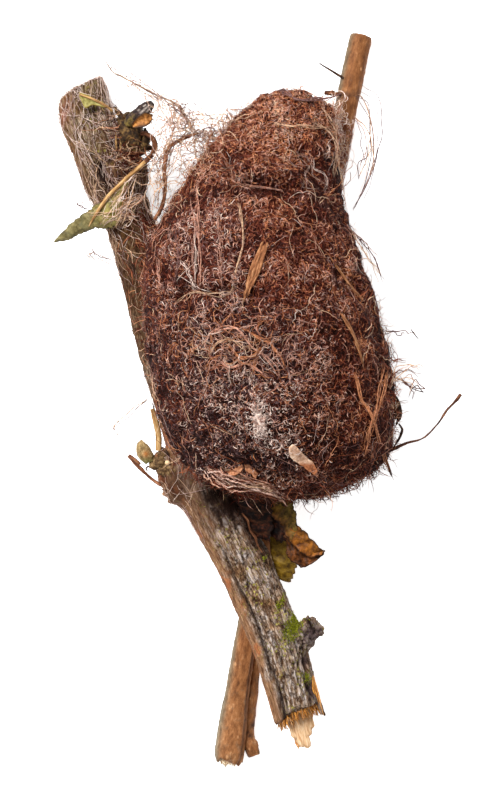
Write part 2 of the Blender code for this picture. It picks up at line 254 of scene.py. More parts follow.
def mark_tones(mesh, triangles, tone, stations, sides):
    """Stores each tube's colour, how far along it each corner lies, and a bake map that spreads the two."""
    middle = np.repeat(np.arange(1, stations - 1), sides)
    along = np.tile(np.concatenate(([0], middle, [stations - 1])) / (stations - 1), len(tone))
    ring = np.tile(np.arange(sides) / sides, stations - 2)
    around = np.tile(np.concatenate(([0.0], ring, [0.5])), len(tone))
    tone = np.repeat(tone, sides * (stations - 2) + 2)
    mark(mesh, tone=tone, along=along)
    baked = np.stack((0.02 + 0.96 * along, tone + 0.004 * around), axis=1)
    layer = mesh.uv_layers.new(name="OFBake")
    layer.uv.foreach_set("vector", baked[triangles.ravel()].astype(np.float32).ravel())


def tubes(name, centres, wide, high=None, ups=None, sides=3, tone=None):
    """One mesh of tubes that taper to a point at both ends; with two sides they are flat ribbons.

    centres is tubes x stations x 3 and wide their half widths at each station. With ups, the tubes are flat
    bands: high is their half thickness, along ups. tone is each tube's colour, from 0 to 1.
    """
    high = wide if high is None else high
    count, stations = wide.shape
    ahead = unit(np.gradient(centres, axis=1))
    side = across_tubes(ahead, ups)
    top = np.cross(ahead, side)
    turn = np.arange(sides) * 2 * math.pi / sides
    across = wide[:, 1:-1, None, None] * side[:, 1:-1, None] * np.cos(turn)[:, None]
    over = high[:, 1:-1, None, None] * top[:, 1:-1, None] * np.sin(turn)[:, None]
    rings = centres[:, 1:-1, None] + across + over
    corners = np.concatenate((centres[:, :1], rings.reshape(count, -1, 3), centres[:, -1:]), axis=1)
    first = corners.shape[1] * np.arange(count)[:, None, None]
    triangles = (tube_faces(stations, sides)[None] + first).reshape(-1, 3)
    mesh = mesh_of(name, corners.reshape(-1, 3), triangles)
    if tone is not None:
        mark_tones(mesh, triangles, tone, stations, sides)
    return mesh


def sheet_of(name, grid, thickness):
    """A thin closed sheet over a grid of places, thinner towards its rim."""
    n, m = grid.shape[:2]
    rim = np.ones((n, m))
    rim[[0, -1]] = rim[:, [0, -1]] = 0.3
    out = unit(np.cross(np.gradient(grid, axis=0), np.gradient(grid, axis=1)))
    out = out * (rim * thickness * MM / 2)[..., None]
    corners = np.concatenate(((grid + out).reshape(-1, 3), (grid - out).reshape(-1, 3)))
    number = np.arange(n * m).reshape(n, m)
    a, b, c, d = number[:-1, :-1], number[1:, :-1], number[1:, 1:], number[:-1, 1:]
    front = np.concatenate([np.stack(t, axis=-1).reshape(-1, 3) for t in ((a, b, c), (a, c, d))])
    edge = np.concatenate((number[:, 0], number[-1, 1:], number[-2::-1, -1], number[0, -2:0:-1]))
    after = np.roll(edge, -1)
    back = n * m
    sides = [np.stack((after, edge, edge + back), 1), np.stack((after, edge + back, after + back), 1)]
    return mesh_of(name, corners, np.concatenate((front, front[:, ::-1] + back, *sides)))


def both(values):
    """A grid of numbers, for the two faces of its sheet."""
    return np.tile(values.ravel(), 2)


def joined(name, meshes):
    """One mesh out of several that have the same marks."""
    whole = bmesh.new()
    for mesh in meshes:
        whole.from_mesh(mesh)
        bpy.data.meshes.remove(mesh)
    mesh = bpy.data.meshes.new(name)
    whole.to_mesh(mesh)
    whole.free()
    return mesh


def piece(name, mesh, finish, replaces=()):
    """An object of the part, with its material, which may stand for CAD nodes."""
    obj = bpy.data.objects.new(name, mesh)
    bpy.context.scene.collection.objects.link(obj)
    mesh.materials.append(finish)
    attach(obj, "root")
    if replaces:
        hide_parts(*replaces)


def skin_of(node, name, voxel, smoothing):
    """A fine even skin over a CAD node, as a mesh."""
    obj = bpy.data.objects.new(name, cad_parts[node].data.copy())
    bpy.context.scene.collection.objects.link(obj)
    remesh = obj.modifiers.new("skin", "REMESH")
    remesh.mode = "VOXEL"
    remesh.voxel_size = voxel * MM
    smooth = obj.modifiers.new("smooth", "SMOOTH")
    smooth.iterations = smoothing
    mesh = bpy.data.meshes.new_from_object(obj.evaluated_get(bpy.context.evaluated_depsgraph_get()))
    bpy.data.objects.remove(obj)
    mesh.name = name
    mesh.materials.clear()
    mesh.polygons.foreach_set("use_smooth", np.ones(len(mesh.polygons), bool))
    return mesh


def corners_of(mesh):
    """The places of a mesh's vertices and their normals."""
    places = np.empty(3 * len(mesh.vertices), np.float32)
    mesh.vertices.foreach_get("co", places)
    normals = np.empty(3 * len(mesh.vertices), np.float32)
    mesh.vertex_normals.foreach_get("vector", normals)
    return places.reshape(-1, 3).astype(float), normals.reshape(-1, 3).astype(float)


def move_to(mesh, places):
    """Puts a mesh's vertices at new places."""
    mesh.vertices.foreach_set("co", np.ascontiguousarray(places, np.float32).ravel())
    mesh.update()


def tree_of(*meshes):
    """A search tree over all the faces of some meshes."""
    corners, faces = [], []
    for mesh in meshes:
        faces += [[len(corners) + v for v in face.vertices] for face in mesh.polygons]
        corners += [v.co.copy() for v in mesh.vertices]
    return BVHTree.FromPolygons(corners, faces)


def nearest(tree, points):
    """The nearest places on a surface, and its normals there."""
    found = [tree.find_nearest(p) for p in points.tolist()]
    return np.array([f[0] for f in found]), np.array([f[1] for f in found])


def scatter(rng, mesh, count, wanted):
    """Random places on a mesh's surface; wanted gives how likely each is, from places and normals."""
    mesh.calc_loop_triangles()
    areas = np.empty(len(mesh.loop_triangles), np.float32)
    mesh.loop_triangles.foreach_get("area", areas)
    ends = np.empty(3 * len(mesh.loop_triangles), np.int32)
    mesh.loop_triangles.foreach_get("vertices", ends)
    places, normals = corners_of(mesh)
    ends = ends.reshape(-1, 3)
    chance = areas.astype(float) * wanted(places[ends].mean(axis=1), unit(normals[ends].mean(axis=1)))
    picked = rng.choice(len(ends), count, p=chance / chance.sum())
    u, v = rng.random(count), rng.random(count)
    flip = u + v > 1
    u[flip], v[flip] = 1 - u[flip], 1 - v[flip]
    shares = np.stack((1 - u - v, u, v), axis=1)[..., None]
    return (places[ends[picked]] * shares).sum(1), unit((normals[ends[picked]] * shares).sum(1))


# ---------------------------------------------------------------- fibres


def pick(rng, count, **weights):
    """Random silk colours, from 0 to 1 on the silk's scale, by these weights."""
    share = np.array(list(weights.values()), float)
    number = np.array([SILK_NAMES.index(name) for name in weights])
    picked = number[rng.choice(len(number), count, p=share / share.sum())]
    return (picked + 0.5 + rng.uniform(-0.3, 0.3, count)) / len(SILK_NAMES)


def creep(rng, tree, roots, heading, lengths, stations, turn):
    """Centre lines that creep over a surface from their roots, with its normals: fibres x stations x 3."""
    place, normal = nearest(tree, roots)
    steady = rng.normal(0, 0.4 * turn, len(roots))
    step = (lengths / (stations - 1))[:, None]
    places, normals = [place], [normal]
    for _ in range(stations - 1):
        heading = unit(heading - normal * (heading * normal).sum(1, keepdims=True))
        angle = (steady + rng.normal(0, 1.3 * turn, len(roots)))[:, None]
        heading = heading * np.cos(angle) + np.cross(normal, heading) * np.sin(angle)
        place, normal = nearest(tree, place + heading * step)
        places.append(place)
        normals.append(normal)
    return np.stack(places, axis=1), np.stack(normals, axis=1)


def drift(rng, roots, heading, lengths, stations, bend):
    """Centre lines that wander freely through the air from their roots."""
    step = (lengths / (stations - 1))[:, None]
    steady = rng.normal(0, bend, roots.shape)
    places = [roots]
    for _ in range(stations - 1):
        heading = unit(heading + steady + rng.normal(0, bend, roots.shape))
        places.append(places[-1] + heading * step)
    return np.stack(places, axis=1)


def loops(rng, roots, heading, lengths, stations):
    """Free curls: each bends on one way, mostly in the plane of the picture, and strays a little."""
    ahead, places = heading, [roots]
    steady = rng.choice((-1, 1), len(roots)) * rng.uniform(0.1, 0.42, len(roots))
    for _ in range(stations - 1):
        angle = steady + rng.normal(0, 0.2, len(roots))
        turned = np.stack((-ahead[:, 1], ahead[:, 0], 0.3 * rng.normal(0, 1, len(roots))), axis=1)
        ahead = unit(ahead * np.cos(angle)[:, None] + turned * np.sin(angle)[:, None])
        places.append(places[-1] + ahead * (lengths / (stations - 1))[:, None])
    return np.stack(places, axis=1)


def spans(rng, starts, ends, stations, swing):
    """Centre lines that wave from their starts to their ends; swing is in metres."""
    t = np.linspace(0, 1, stations)[None, :, None]
    lines = starts[:, None] * (1 - t) + ends[:, None] * t
    for waves in (1, 2, 4, 7):
        sway = rng.normal(0, 1, (len(starts), 1, 3)) * np.sin(math.pi * waves * t)
        lines = lines + swing * sway / waves**0.7
    return lines


def seen(tree, points, lift, level=0.012):
    """Points given as the picture shows them, in millimetres, laid on what the camera sees there.

    lift is how far they stand off the surface. Past the surface's edge they keep the last height, or level.
    """
    laid, height = [], level
    for x, y in np.array(points, float)[:, :2].tolist():
        ray = np.array((x, y, VIEW_CENTRE[2])) - EYE
        hit, normal, _index, _far = tree.ray_cast(Vector(EYE * MM), Vector(unit(ray)))
        if hit is not None and hit.z > level * 0.4:
            place = np.array(hit) + np.array(normal) * lift * MM
            height = place[2]
        else:
            place = (EYE + ray * (EYE[2] - height / MM) / (EYE[2] - VIEW_CENTRE[2])) * MM
        laid.append(place)
    return np.array(laid)


def tapered(radii, stations, root=0.5):
    """Each fibre's radius at its stations: thinner at the root and at the tip."""
    t = np.linspace(0, 1, stations)
    return radii[:, None] * np.minimum(1.0, root + 4 * t) * np.minimum(1.0, 0.35 + 2.2 * (1 - t))


def flat_heading(angles):
    """Directions in the picture's plane, from angles in radians."""
    return np.stack((np.cos(angles), np.sin(angles), np.zeros_like(angles)), axis=1)


def combed(rng, count, ways, stray, shares=None):
    """Headings in the picture's plane along some ways, in degrees, each a little astray."""
    return flat_heading(np.radians(rng.choice(ways, count, p=shares) + rng.normal(0, stray, count)))


def crept(rng, mesh, tree, wanted, count, length, stations, turn):
    """Lines that creep every way over a surface from random roots, and its normals along them."""
    roots, _normals = scatter(rng, mesh, count, wanted)
    heading = flat_heading(rng.uniform(0, 2 * math.pi, count))
    return creep(rng, tree, roots, heading, rng.uniform(*length, count) * MM, stations, turn)


def standing(rng, mesh, wanted, count, stray, lean=(0.0, 0.0, 0.0)):
    """Random roots on a surface, and headings that stand off it."""
    roots, normals = scatter(rng, mesh, count, wanted)
    return roots, unit(normals + rng.normal(0, stray, normals.shape) + np.array(lean))


def lifted(lines, ups, height):
    """Lines raised off their surface by some millimetres, for each line or for each of its stations."""
    return lines + ups * (height * MM)[..., None]


def spin(rng, name, lines, tone, thick, **shape):
    """A piece of silk threads along some lines. thick is the range of their half widths in millimetres."""
    wide = tapered(rng.uniform(*thick, len(lines)) * MM, lines.shape[1])
    piece(name, tubes(name, lines, wide, tone=tone, **shape), silk)


# ---------------------------------------------------------------- materials


def plain(name, colour, roughness, specular):
    """A finish of one colour, which nodes then vary, or which is all that the floor needs."""
    made = bpy.data.materials.new(name)
    made.use_nodes = True
    shader = made.node_tree.nodes["Principled BSDF"]
    shader.inputs["Base Color"].default_value = (*srgb(*colour), 1.0)
    shader.inputs["Roughness"].default_value = roughness
    shader.inputs["Specular IOR Level"].default_value = specular
    return made


# The colour of a material whose nodes give it another.
UNSEEN = (128, 128, 128)


class Finish:
    """A material whose colour and relief come from nodes, measured in millimetres."""

    def __init__(self, name, roughness, specular):
        self.material = plain(name, UNSEEN, roughness, specular)
        self.tree = self.material.node_tree
        self.shader = self.tree.nodes["Principled BSDF"]

    def add(self, kind, links=(), **settings):
        """A node with some properties set and some sockets fed."""
        node = self.tree.nodes.new(kind)
        for key, value in settings.items():
            setattr(node, key, value)
        for socket, source in links:
            if isinstance(source, bpy.types.NodeSocket):
                self.tree.links.new(source, node.inputs[socket])
            else:
                node.inputs[socket].default_value = source
        return node

    def place(self, stretch=(1.0, 1.0, 1.0), along=None):
        """Millimetres in the object's space, or the stored vector called along, scaled on each axis."""
        if along:
            source, scale = self.add("ShaderNodeAttribute", attribute_name=along).outputs["Vector"], stretch
        else:
            source, scale = self.add("ShaderNodeTexCoord").outputs["Object"], tuple(s / MM for s in stretch)
        return self.add("ShaderNodeMapping", [("Vector", source), ("Scale", scale)]).outputs[0]

    def noise(self, place, grain, detail, roughness=0.6, distortion=0.0):
        """Fractal noise around a half; grain is the size of its largest lumps in millimetres."""
        links = [("Vector", place), ("Scale", 1 / grain), ("Detail", detail)]
        links += [("Roughness", roughness), ("Distortion", distortion)]
        return self.add("ShaderNodeTexNoise", links).outputs["Fac"]

    def cells(self, place, grain):
        """How far each place is from the nearest of some points that are strewn a grain apart."""
        return self.add("ShaderNodeTexVoronoi", [("Vector", place), ("Scale", 1 / grain)]).outputs["Distance"]

    def edges(self, place, grain):
        """How far each place is from the nearest border between cells."""
        links = [("Vector", place), ("Scale", 1 / grain)]
        return self.add("ShaderNodeTexVoronoi", links, feature="DISTANCE_TO_EDGE").outputs["Distance"]

    def wobble(self, place, grain):
        """A small random vector that varies from place to place."""
        node = self.add("ShaderNodeTexNoise", [("Vector", place), ("Scale", 1 / grain), ("Detail", 3.0)])
        links = [(0, node.outputs["Color"]), (1, (0.8, 0.8, 0.8))]
        return self.add("ShaderNodeVectorMath", links, operation="MULTIPLY").outputs[0]

    def stored(self, name):
        """A number that the mesh holds at each vertex."""
        return self.add("ShaderNodeAttribute", attribute_name=name).outputs["Fac"]

    def span(self, value, low, high):
        """value stretched so that low gives 0 and high gives 1, clamped."""
        links = [("Value", value), ("From Min", low), ("From Max", high)]
        return self.add("ShaderNodeMapRange", links).outputs["Result"]

    def math(self, kind, first, second):
        """The sum, difference or product of two values."""
        return self.add("ShaderNodeMath", [(0, first), (1, second)], operation=kind).outputs[0]

    def ramp(self, value, *stops):
        """A colour for each place on a scale from 0 to 1."""
        node = self.add("ShaderNodeValToRGB", [("Fac", value)])
        band = node.color_ramp.elements
        while len(band) < len(stops):
            band.new(0.5)
        for element, (spot, colour) in zip(band, stops):
            element.position = spot
            element.color = (*srgb(*colour), 1.0)
        return node.outputs["Color"]

    def blend(self, share, first, second, kind="MIX"):
        """The first colour, giving way to the second as the share grows from 0 to 1."""
        node = self.add("ShaderNodeMix", data_type="RGBA", blend_type=kind)
        for socket, source in ((0, share), (6, first), (7, second)):
            if isinstance(source, bpy.types.NodeSocket):
                self.tree.links.new(source, node.inputs[socket])
            elif socket == 0:
                node.inputs[socket].default_value = source
            else:
                node.inputs[socket].default_value = (*srgb(*source), 1.0)
        return node.outputs[2]

    def tint(self, colour, tone):
        """The colour, darkened by a tone."""
        return self.blend(1.0, colour, tone, "MULTIPLY")

    def where(self, name, colour, other):
        """The colour, giving way to another where the mesh's stored share is high."""
        return self.blend(self.stored(name), colour, other)

    def done(self, colour, height=None, depth=0.0):
        """Feeds the shader; depth is how far the relief stands out, in millimetres."""
        self.tree.links.new(colour, self.shader.inputs["Base Color"])
        if height is not None:
            links = [("Height", height), ("Distance", depth * MM), ("Strength", 1.0)]
            self.tree.links.new(self.add("ShaderNodeBump", links).outputs[0], self.shader.inputs["Normal"])
        return self.material


def silk_finish():
    """Every fibre's own colour, flecked along its length and darkened at both ends by painted shade."""
    f = Finish("silk_fibre", roughness=0.6, specular=0.07)
    stops = [((k + 0.5) / len(SILKS), colour) for k, colour in enumerate(SILKS.values())]
    colour = f.ramp(f.stored("tone"), *stops)
    fleck = f.noise(f.place(), 0.5, detail=2.0)
    colour = f.blend(f.span(fleck, 0.35, 0.6), f.tint(colour, (176, 160, 156)), colour)
    # Painted shade: each fibre is darker towards both ends, where it dips into the felt.
    middle = f.math("MULTIPLY", f.stored("along"), f.math("SUBTRACT", 1.0, f.stored("along")))
    painted_end_shade = f.tint(colour, (160, 146, 142))
    return f.done(f.blend(f.span(middle, 0.0, 0.14), painted_end_shade, colour))


def silk_ground():
    """The matted ground of the felt, which shows between the fibres, darker as painted shade."""
    f = Finish("silk_ground", roughness=0.95, specular=0.04)
    place = f.place()
    strands = f.noise(place, 0.4, detail=5.0, roughness=0.75, distortion=1.2)
    field = f.noise(place, 6.0, detail=3.0)
    # Dark red-brown silk, made darker still as painted shade for the depths between the fibres.
    reds = [(0.42, (24, 7, 3)), (0.56, (50, 19, 10)), (0.68, (98, 46, 29)), (0.8, (146, 82, 56))]
    greys = [(0.42, (20, 7, 5)), (0.56, (44, 22, 16)), (0.68, (90, 60, 53)), (0.8, (146, 112, 102))]
    grey = f.ramp(strands, *greys)
    colour = f.blend(f.span(field, 0.4, 0.65), f.ramp(strands, *reds), grey)
    colour = f.where("greyness", colour, grey)
    return f.done(colour, strands, depth=0.35)


def bark_finish():
    """Weathered bark: grey scaly plates, dark cracks, a smooth brown flank, lichen and bare torn wood."""
    f = Finish("grey_bark", roughness=0.85, specular=0.1)
    along, even = f.place((1.0, 1.0, 0.24), "grain"), f.place()
    streak = f.noise(along, 0.42, detail=6.0, roughness=0.7, distortion=0.3)
    fine = f.noise(along, 0.3, detail=4.0, roughness=0.7)
    patch = f.noise(even, 4.0, detail=4.0)
    speck = f.noise(even, 0.6, detail=3.0, roughness=0.7)
    grey = [(0.33, (76, 46, 27)), (0.43, (136, 108, 84)), (0.53, (178, 158, 142)), (0.67, (218, 206, 202))]
    tan = [(0.35, (76, 46, 28)), (0.46, (126, 92, 62)), (0.56, (172, 136, 102)), (0.69, (212, 184, 154))]
    colour = f.blend(f.span(patch, 0.5, 0.66), f.ramp(streak, *grey), f.ramp(streak, *tan))
    brown = [(0.34, (70, 42, 26)), (0.46, (116, 80, 54)), (0.56, (148, 108, 76)), (0.68, (186, 150, 116))]
    rusty = f.ramp(fine, (0.38, (122, 64, 34)), (0.62, (190, 116, 72)))
    brown = f.blend(f.span(patch, 0.56, 0.66), f.ramp(streak, *brown), rusty)
    colour = f.where("flank", colour, brown)
    colour = f.where("upper", colour, f.tint(colour, (202, 194, 170)))
    # Painted shade: the branch is darkened around its middle, beside the cocoon.
    colour = f.where("dusk", colour, f.tint(colour, (178, 160, 148)))
    bent = f.add("ShaderNodeVectorMath", [(0, along), (1, f.wobble(even, 0.8))], operation="ADD").outputs[0]
    plate = f.edges(bent, 0.75)
    split = f.math("MULTIPLY", f.span(plate, 0.12, 0.03), f.math("SUBTRACT", 1.0, f.stored("flank")))
    colour = f.blend(f.math("MULTIPLY", split, 0.75), colour, (62, 36, 20))
    crust = f.span(f.cells(even, 0.7), 0.4, 0.24)
    lichen = f.ramp(speck, (0.38, (108, 96, 28)), (0.6, (190, 176, 94)))
    colour = f.blend(f.math("MULTIPLY", f.stored("lichen"), crust), colour, lichen)
    colour = f.where("reddish", colour, f.ramp(speck, (0.35, (92, 46, 30)), (0.6, (162, 96, 68))))
    colour = f.where("purple", colour, f.ramp(speck, (0.35, (56, 42, 46)), (0.6, (122, 102, 104))))
    colour = f.blend(f.math("MULTIPLY", f.stored("crack"), 0.97), colour, (27, 12, 7))
    wood = f.ramp(fine, (0.35, (178, 98, 40)), (0.5, (222, 150, 82)), (0.65, (244, 204, 150)))
    colour = f.where("wood", colour, wood)
    raised = f.math("ADD", streak, f.math("MULTIPLY", fine, 0.6))
    return f.done(colour, f.math("SUBTRACT", raised, f.math("MULTIPLY", split, 0.5)), depth=0.25)


def twig_finish():
    """Smooth young bark: mottled orange-brown, an olive flank, pale pores, and pale wood where it broke."""
    f = Finish("twig_bark", roughness=0.65, specular=0.15)
    along, even = f.place((1.0, 1.0, 0.36), "grain"), f.place()
    streak = f.noise(along, 0.8, detail=6.0, roughness=0.75)
    cloud = f.noise(even, 1.6, detail=4.0)
    tan = [(0.3, (88, 52, 28)), (0.46, (134, 86, 50)), (0.58, (160, 108, 66)), (0.7, (202, 156, 114))]
    dull = f.ramp(streak, (0.34, (88, 60, 40)), (0.66, (150, 116, 86)))
    colour = f.blend(f.span(cloud, 0.55, 0.75), f.ramp(streak, *tan), dull)
    colour = f.where("flank", colour, f.ramp(streak, (0.35, (82, 70, 52)), (0.65, (142, 128, 104))))
    colour = f.where("upper", colour, f.tint(colour, (228, 220, 212)))
    pores = f.span(f.cells(f.place((1.0, 0.6, 1.0)), 1.9), 0.15, 0.08)
    colour = f.blend(f.math("MULTIPLY", pores, 0.5), colour, (214, 160, 112))
    colour = f.where("crack", colour, (58, 36, 28))
    colour = f.where("wood", colour, (238, 214, 182))
    return f.done(colour, f.math("ADD", streak, f.math("MULTIPLY", pores, 0.4)), depth=0.12)


def cloud_finish(name, stops, grain=0.6, marks=(), roughness=0.75, stretch=None):
    """A blotched finish; marks are stored shares with the colours that they bring in."""
    f = Finish(name, roughness=roughness, specular=0.15)
    place = f.place(stretch, "grain") if stretch else f.place()
    cloud = f.noise(place, grain, detail=5.0, roughness=0.7)
    spread = [(0.34 + 0.32 * k / (len(stops) - 1), colour) for k, colour in enumerate(stops)]
    colour = f.ramp(cloud, *spread)
    for mark_name, dark, light in marks:
        colour = f.where(mark_name, colour, f.ramp(cloud, (0.38, dark), (0.62, light)))
    return f.done(colour, cloud, depth=0.12)


ALONG = (1.0, 1.0, 0.15)
silk = silk_finish()
grey_bark = bark_finish()
twig_bark = twig_finish()
dark_shoot = cloud_finish("dark_shoot", [(26, 17, 13), (58, 39, 30), (112, 82, 60)])
red_shoot = cloud_finish("red_shoot", [(34, 19, 13), (82, 47, 31), (142, 92, 62)], 0.35, stretch=ALONG)
brown_shoot = cloud_finish("brown_shoot", [(54, 28, 16), (112, 68, 44), (170, 118, 84)], 0.35, stretch=ALONG)
spur_wood = cloud_finish("spur_wood", [(20, 14, 10), (60, 42, 26), (128, 98, 56)], 0.7)
grey_shoot = cloud_finish("grey_shoot", [(84, 64, 50), (150, 122, 98), (200, 176, 150)], 0.4, stretch=ALONG)
tan_shoot = cloud_finish("tan_shoot", [(104, 68, 38), (172, 130, 80), (216, 180, 126)], 0.4, stretch=ALONG)
straw_finish = cloud_finish("straw", [(66, 34, 20), (140, 88, 54), (194, 144, 102)], 0.3, stretch=ALONG)
paper = cloud_finish(
    "paper",
    [(136, 92, 76), (206, 166, 148), (242, 218, 204)],
    0.5,
    [("glow", (160, 98, 64), (208, 150, 112)), ("edge", (96, 50, 28), (140, 84, 52))],
)
scrap_paper = cloud_finish(
    "scrap_paper",
    [(184, 134, 104), (234, 190, 158), (252, 226, 202)],
    0.5,
    [("glow", (150, 84, 50), (212, 138, 94)), ("edge", (96, 50, 28), (140, 84, 52))],
)


# ---------------------------------------------------------------- the cocoon's ground


# Folds of the silk, seen from the front: the line, how wide and deep the valley is, and the lip beside it.
FOLDS = [
    ([(-6.3, 32.4), (-5.8, 30.6), (-4.6, 28.9), (0.0, 28.2), (4.2, 27.6)], 1.1, 2.1, 1.6),
    ([(-4.5, 26.0), (-3.2, 20.7), (-3.4, 16.4), (-4.7, 12.1), (-7.0, 6.2)], 0.8, 0.7, 0.2),
    ([(-15.4, 7.8), (-13.0, 9.4), (-9.0, 8.6), (-5.0, 9.6), (-2.0, 8.6)], 0.9, 1.3, 0.6),
    ([(14.0, 12.4), (17.6, 8.0), (20.4, 2.0), (21.2, -6.0)], 1.2, 0.8, 0.5),
    ([(7.0, 33.6), (9.6, 30.0), (12.0, 26.4), (14.6, 22.0)], 1.5, 1.4, 0.5),
    ([(-14.4, -16.0), (-8.0, -20.4), (0.0, -22.6), (7.0, -23.4)], 1.4, 0.7, 0.2),
    ([(-17.0, 20.0), (-15.4, 8.0), (-14.8, -6.0), (-13.4, -14.0)], 1.2, 0.6, 0.3),
]


def fold_silk(places, normals):
    """How far each fold moves the silk out or in."""
    moved = np.zeros(len(places))
    front = ease(normals[:, 2], 0.0, 0.3)
    row = np.arange(len(places))
    for line, width, depth, lip in FOLDS:
        path = smooth_line(line, 24) * MM
        away = places[:, None, :2] - path
        spot = np.linalg.norm(away, axis=2).argmin(axis=1)
        away = away[row, spot]
        ahead = unit(np.gradient(path, axis=0))[spot]
        side = away[:, 0] * -ahead[:, 1] + away[:, 1] * ahead[:, 0]
        gap = np.linalg.norm(away, axis=1) / (width * MM)
        rise = lip * bell(gap, 1.5, 1) * (side > 0) - depth * bell(gap, 0, 1)
        moved += rise * front * MM
    return moved


def lump_height(places):
    """How far the silk's broad waves and its tufts stand out at each place, in millimetres."""
    return 0.6 * rough(places, 9 * MM, 2, 3.1) + tuft_height(places)


def tuft_height(places):
    """The tufts alone, drawn out in depth, so that they stay in place when the silk is moved by them."""
    return 0.65 * rough(places, (2.4 * MM, 2.4 * MM, 6 * MM), 3, 7.7)


def make_cocoon_ground():
    """The matted felt, with its lumps, folds and fine relief, and a search tree for what lies on it."""
    mesh = skin_of("cocoon", "cocoon_felt", voxel=0.54, smoothing=4)
    places, normals = corners_of(mesh)
    places += normals * (lump_height(places) * MM + fold_silk(places, normals))[:, None]
    places[:, 2] = np.maximum(places[:, 2], 0.0)
    move_to(mesh, places)
    tree = tree_of(mesh)
    places, normals = corners_of(mesh)
    fine = 0.16 * ridges(places, 1.2 * MM, 3, 1.3) + 0.1 * rough(places, 0.8 * MM, 2, 9.2) - 0.1
    places += normals * (fine * MM)[:, None]
    places[:, 2] = np.maximum(places[:, 2], 0.0)
    move_to(mesh, places)
    shares = region_shares(places, normals)
    greys = [k for k, kind in enumerate(REGIONS) if kind["ashen"]]
    mark(mesh, greyness=shares[:, greys].sum(1))
    piece("cocoon_felt", mesh, silk_ground(), ["cocoon"])
    return mesh, tree


# ---------------------------------------------------------------- the felt


def region(at, reach, force, heading, length, thick, lift, turn, ashen, **silks):
    """A kind of felt: where it lies and how far it reaches, how strong it is there, which way its fibres run
    and how much they stray, their length, thickness and lift, how curly they are, and their silks."""
    weights = np.array([silks.get(name, 0.0) for name in SILK_NAMES])
    return dict(at=at, reach=reach, force=force, heading=heading, length=length, thick=thick, lift=lift,
                turn=turn, ashen=ashen, silks=weights)


FINE = (0.037, 0.065)
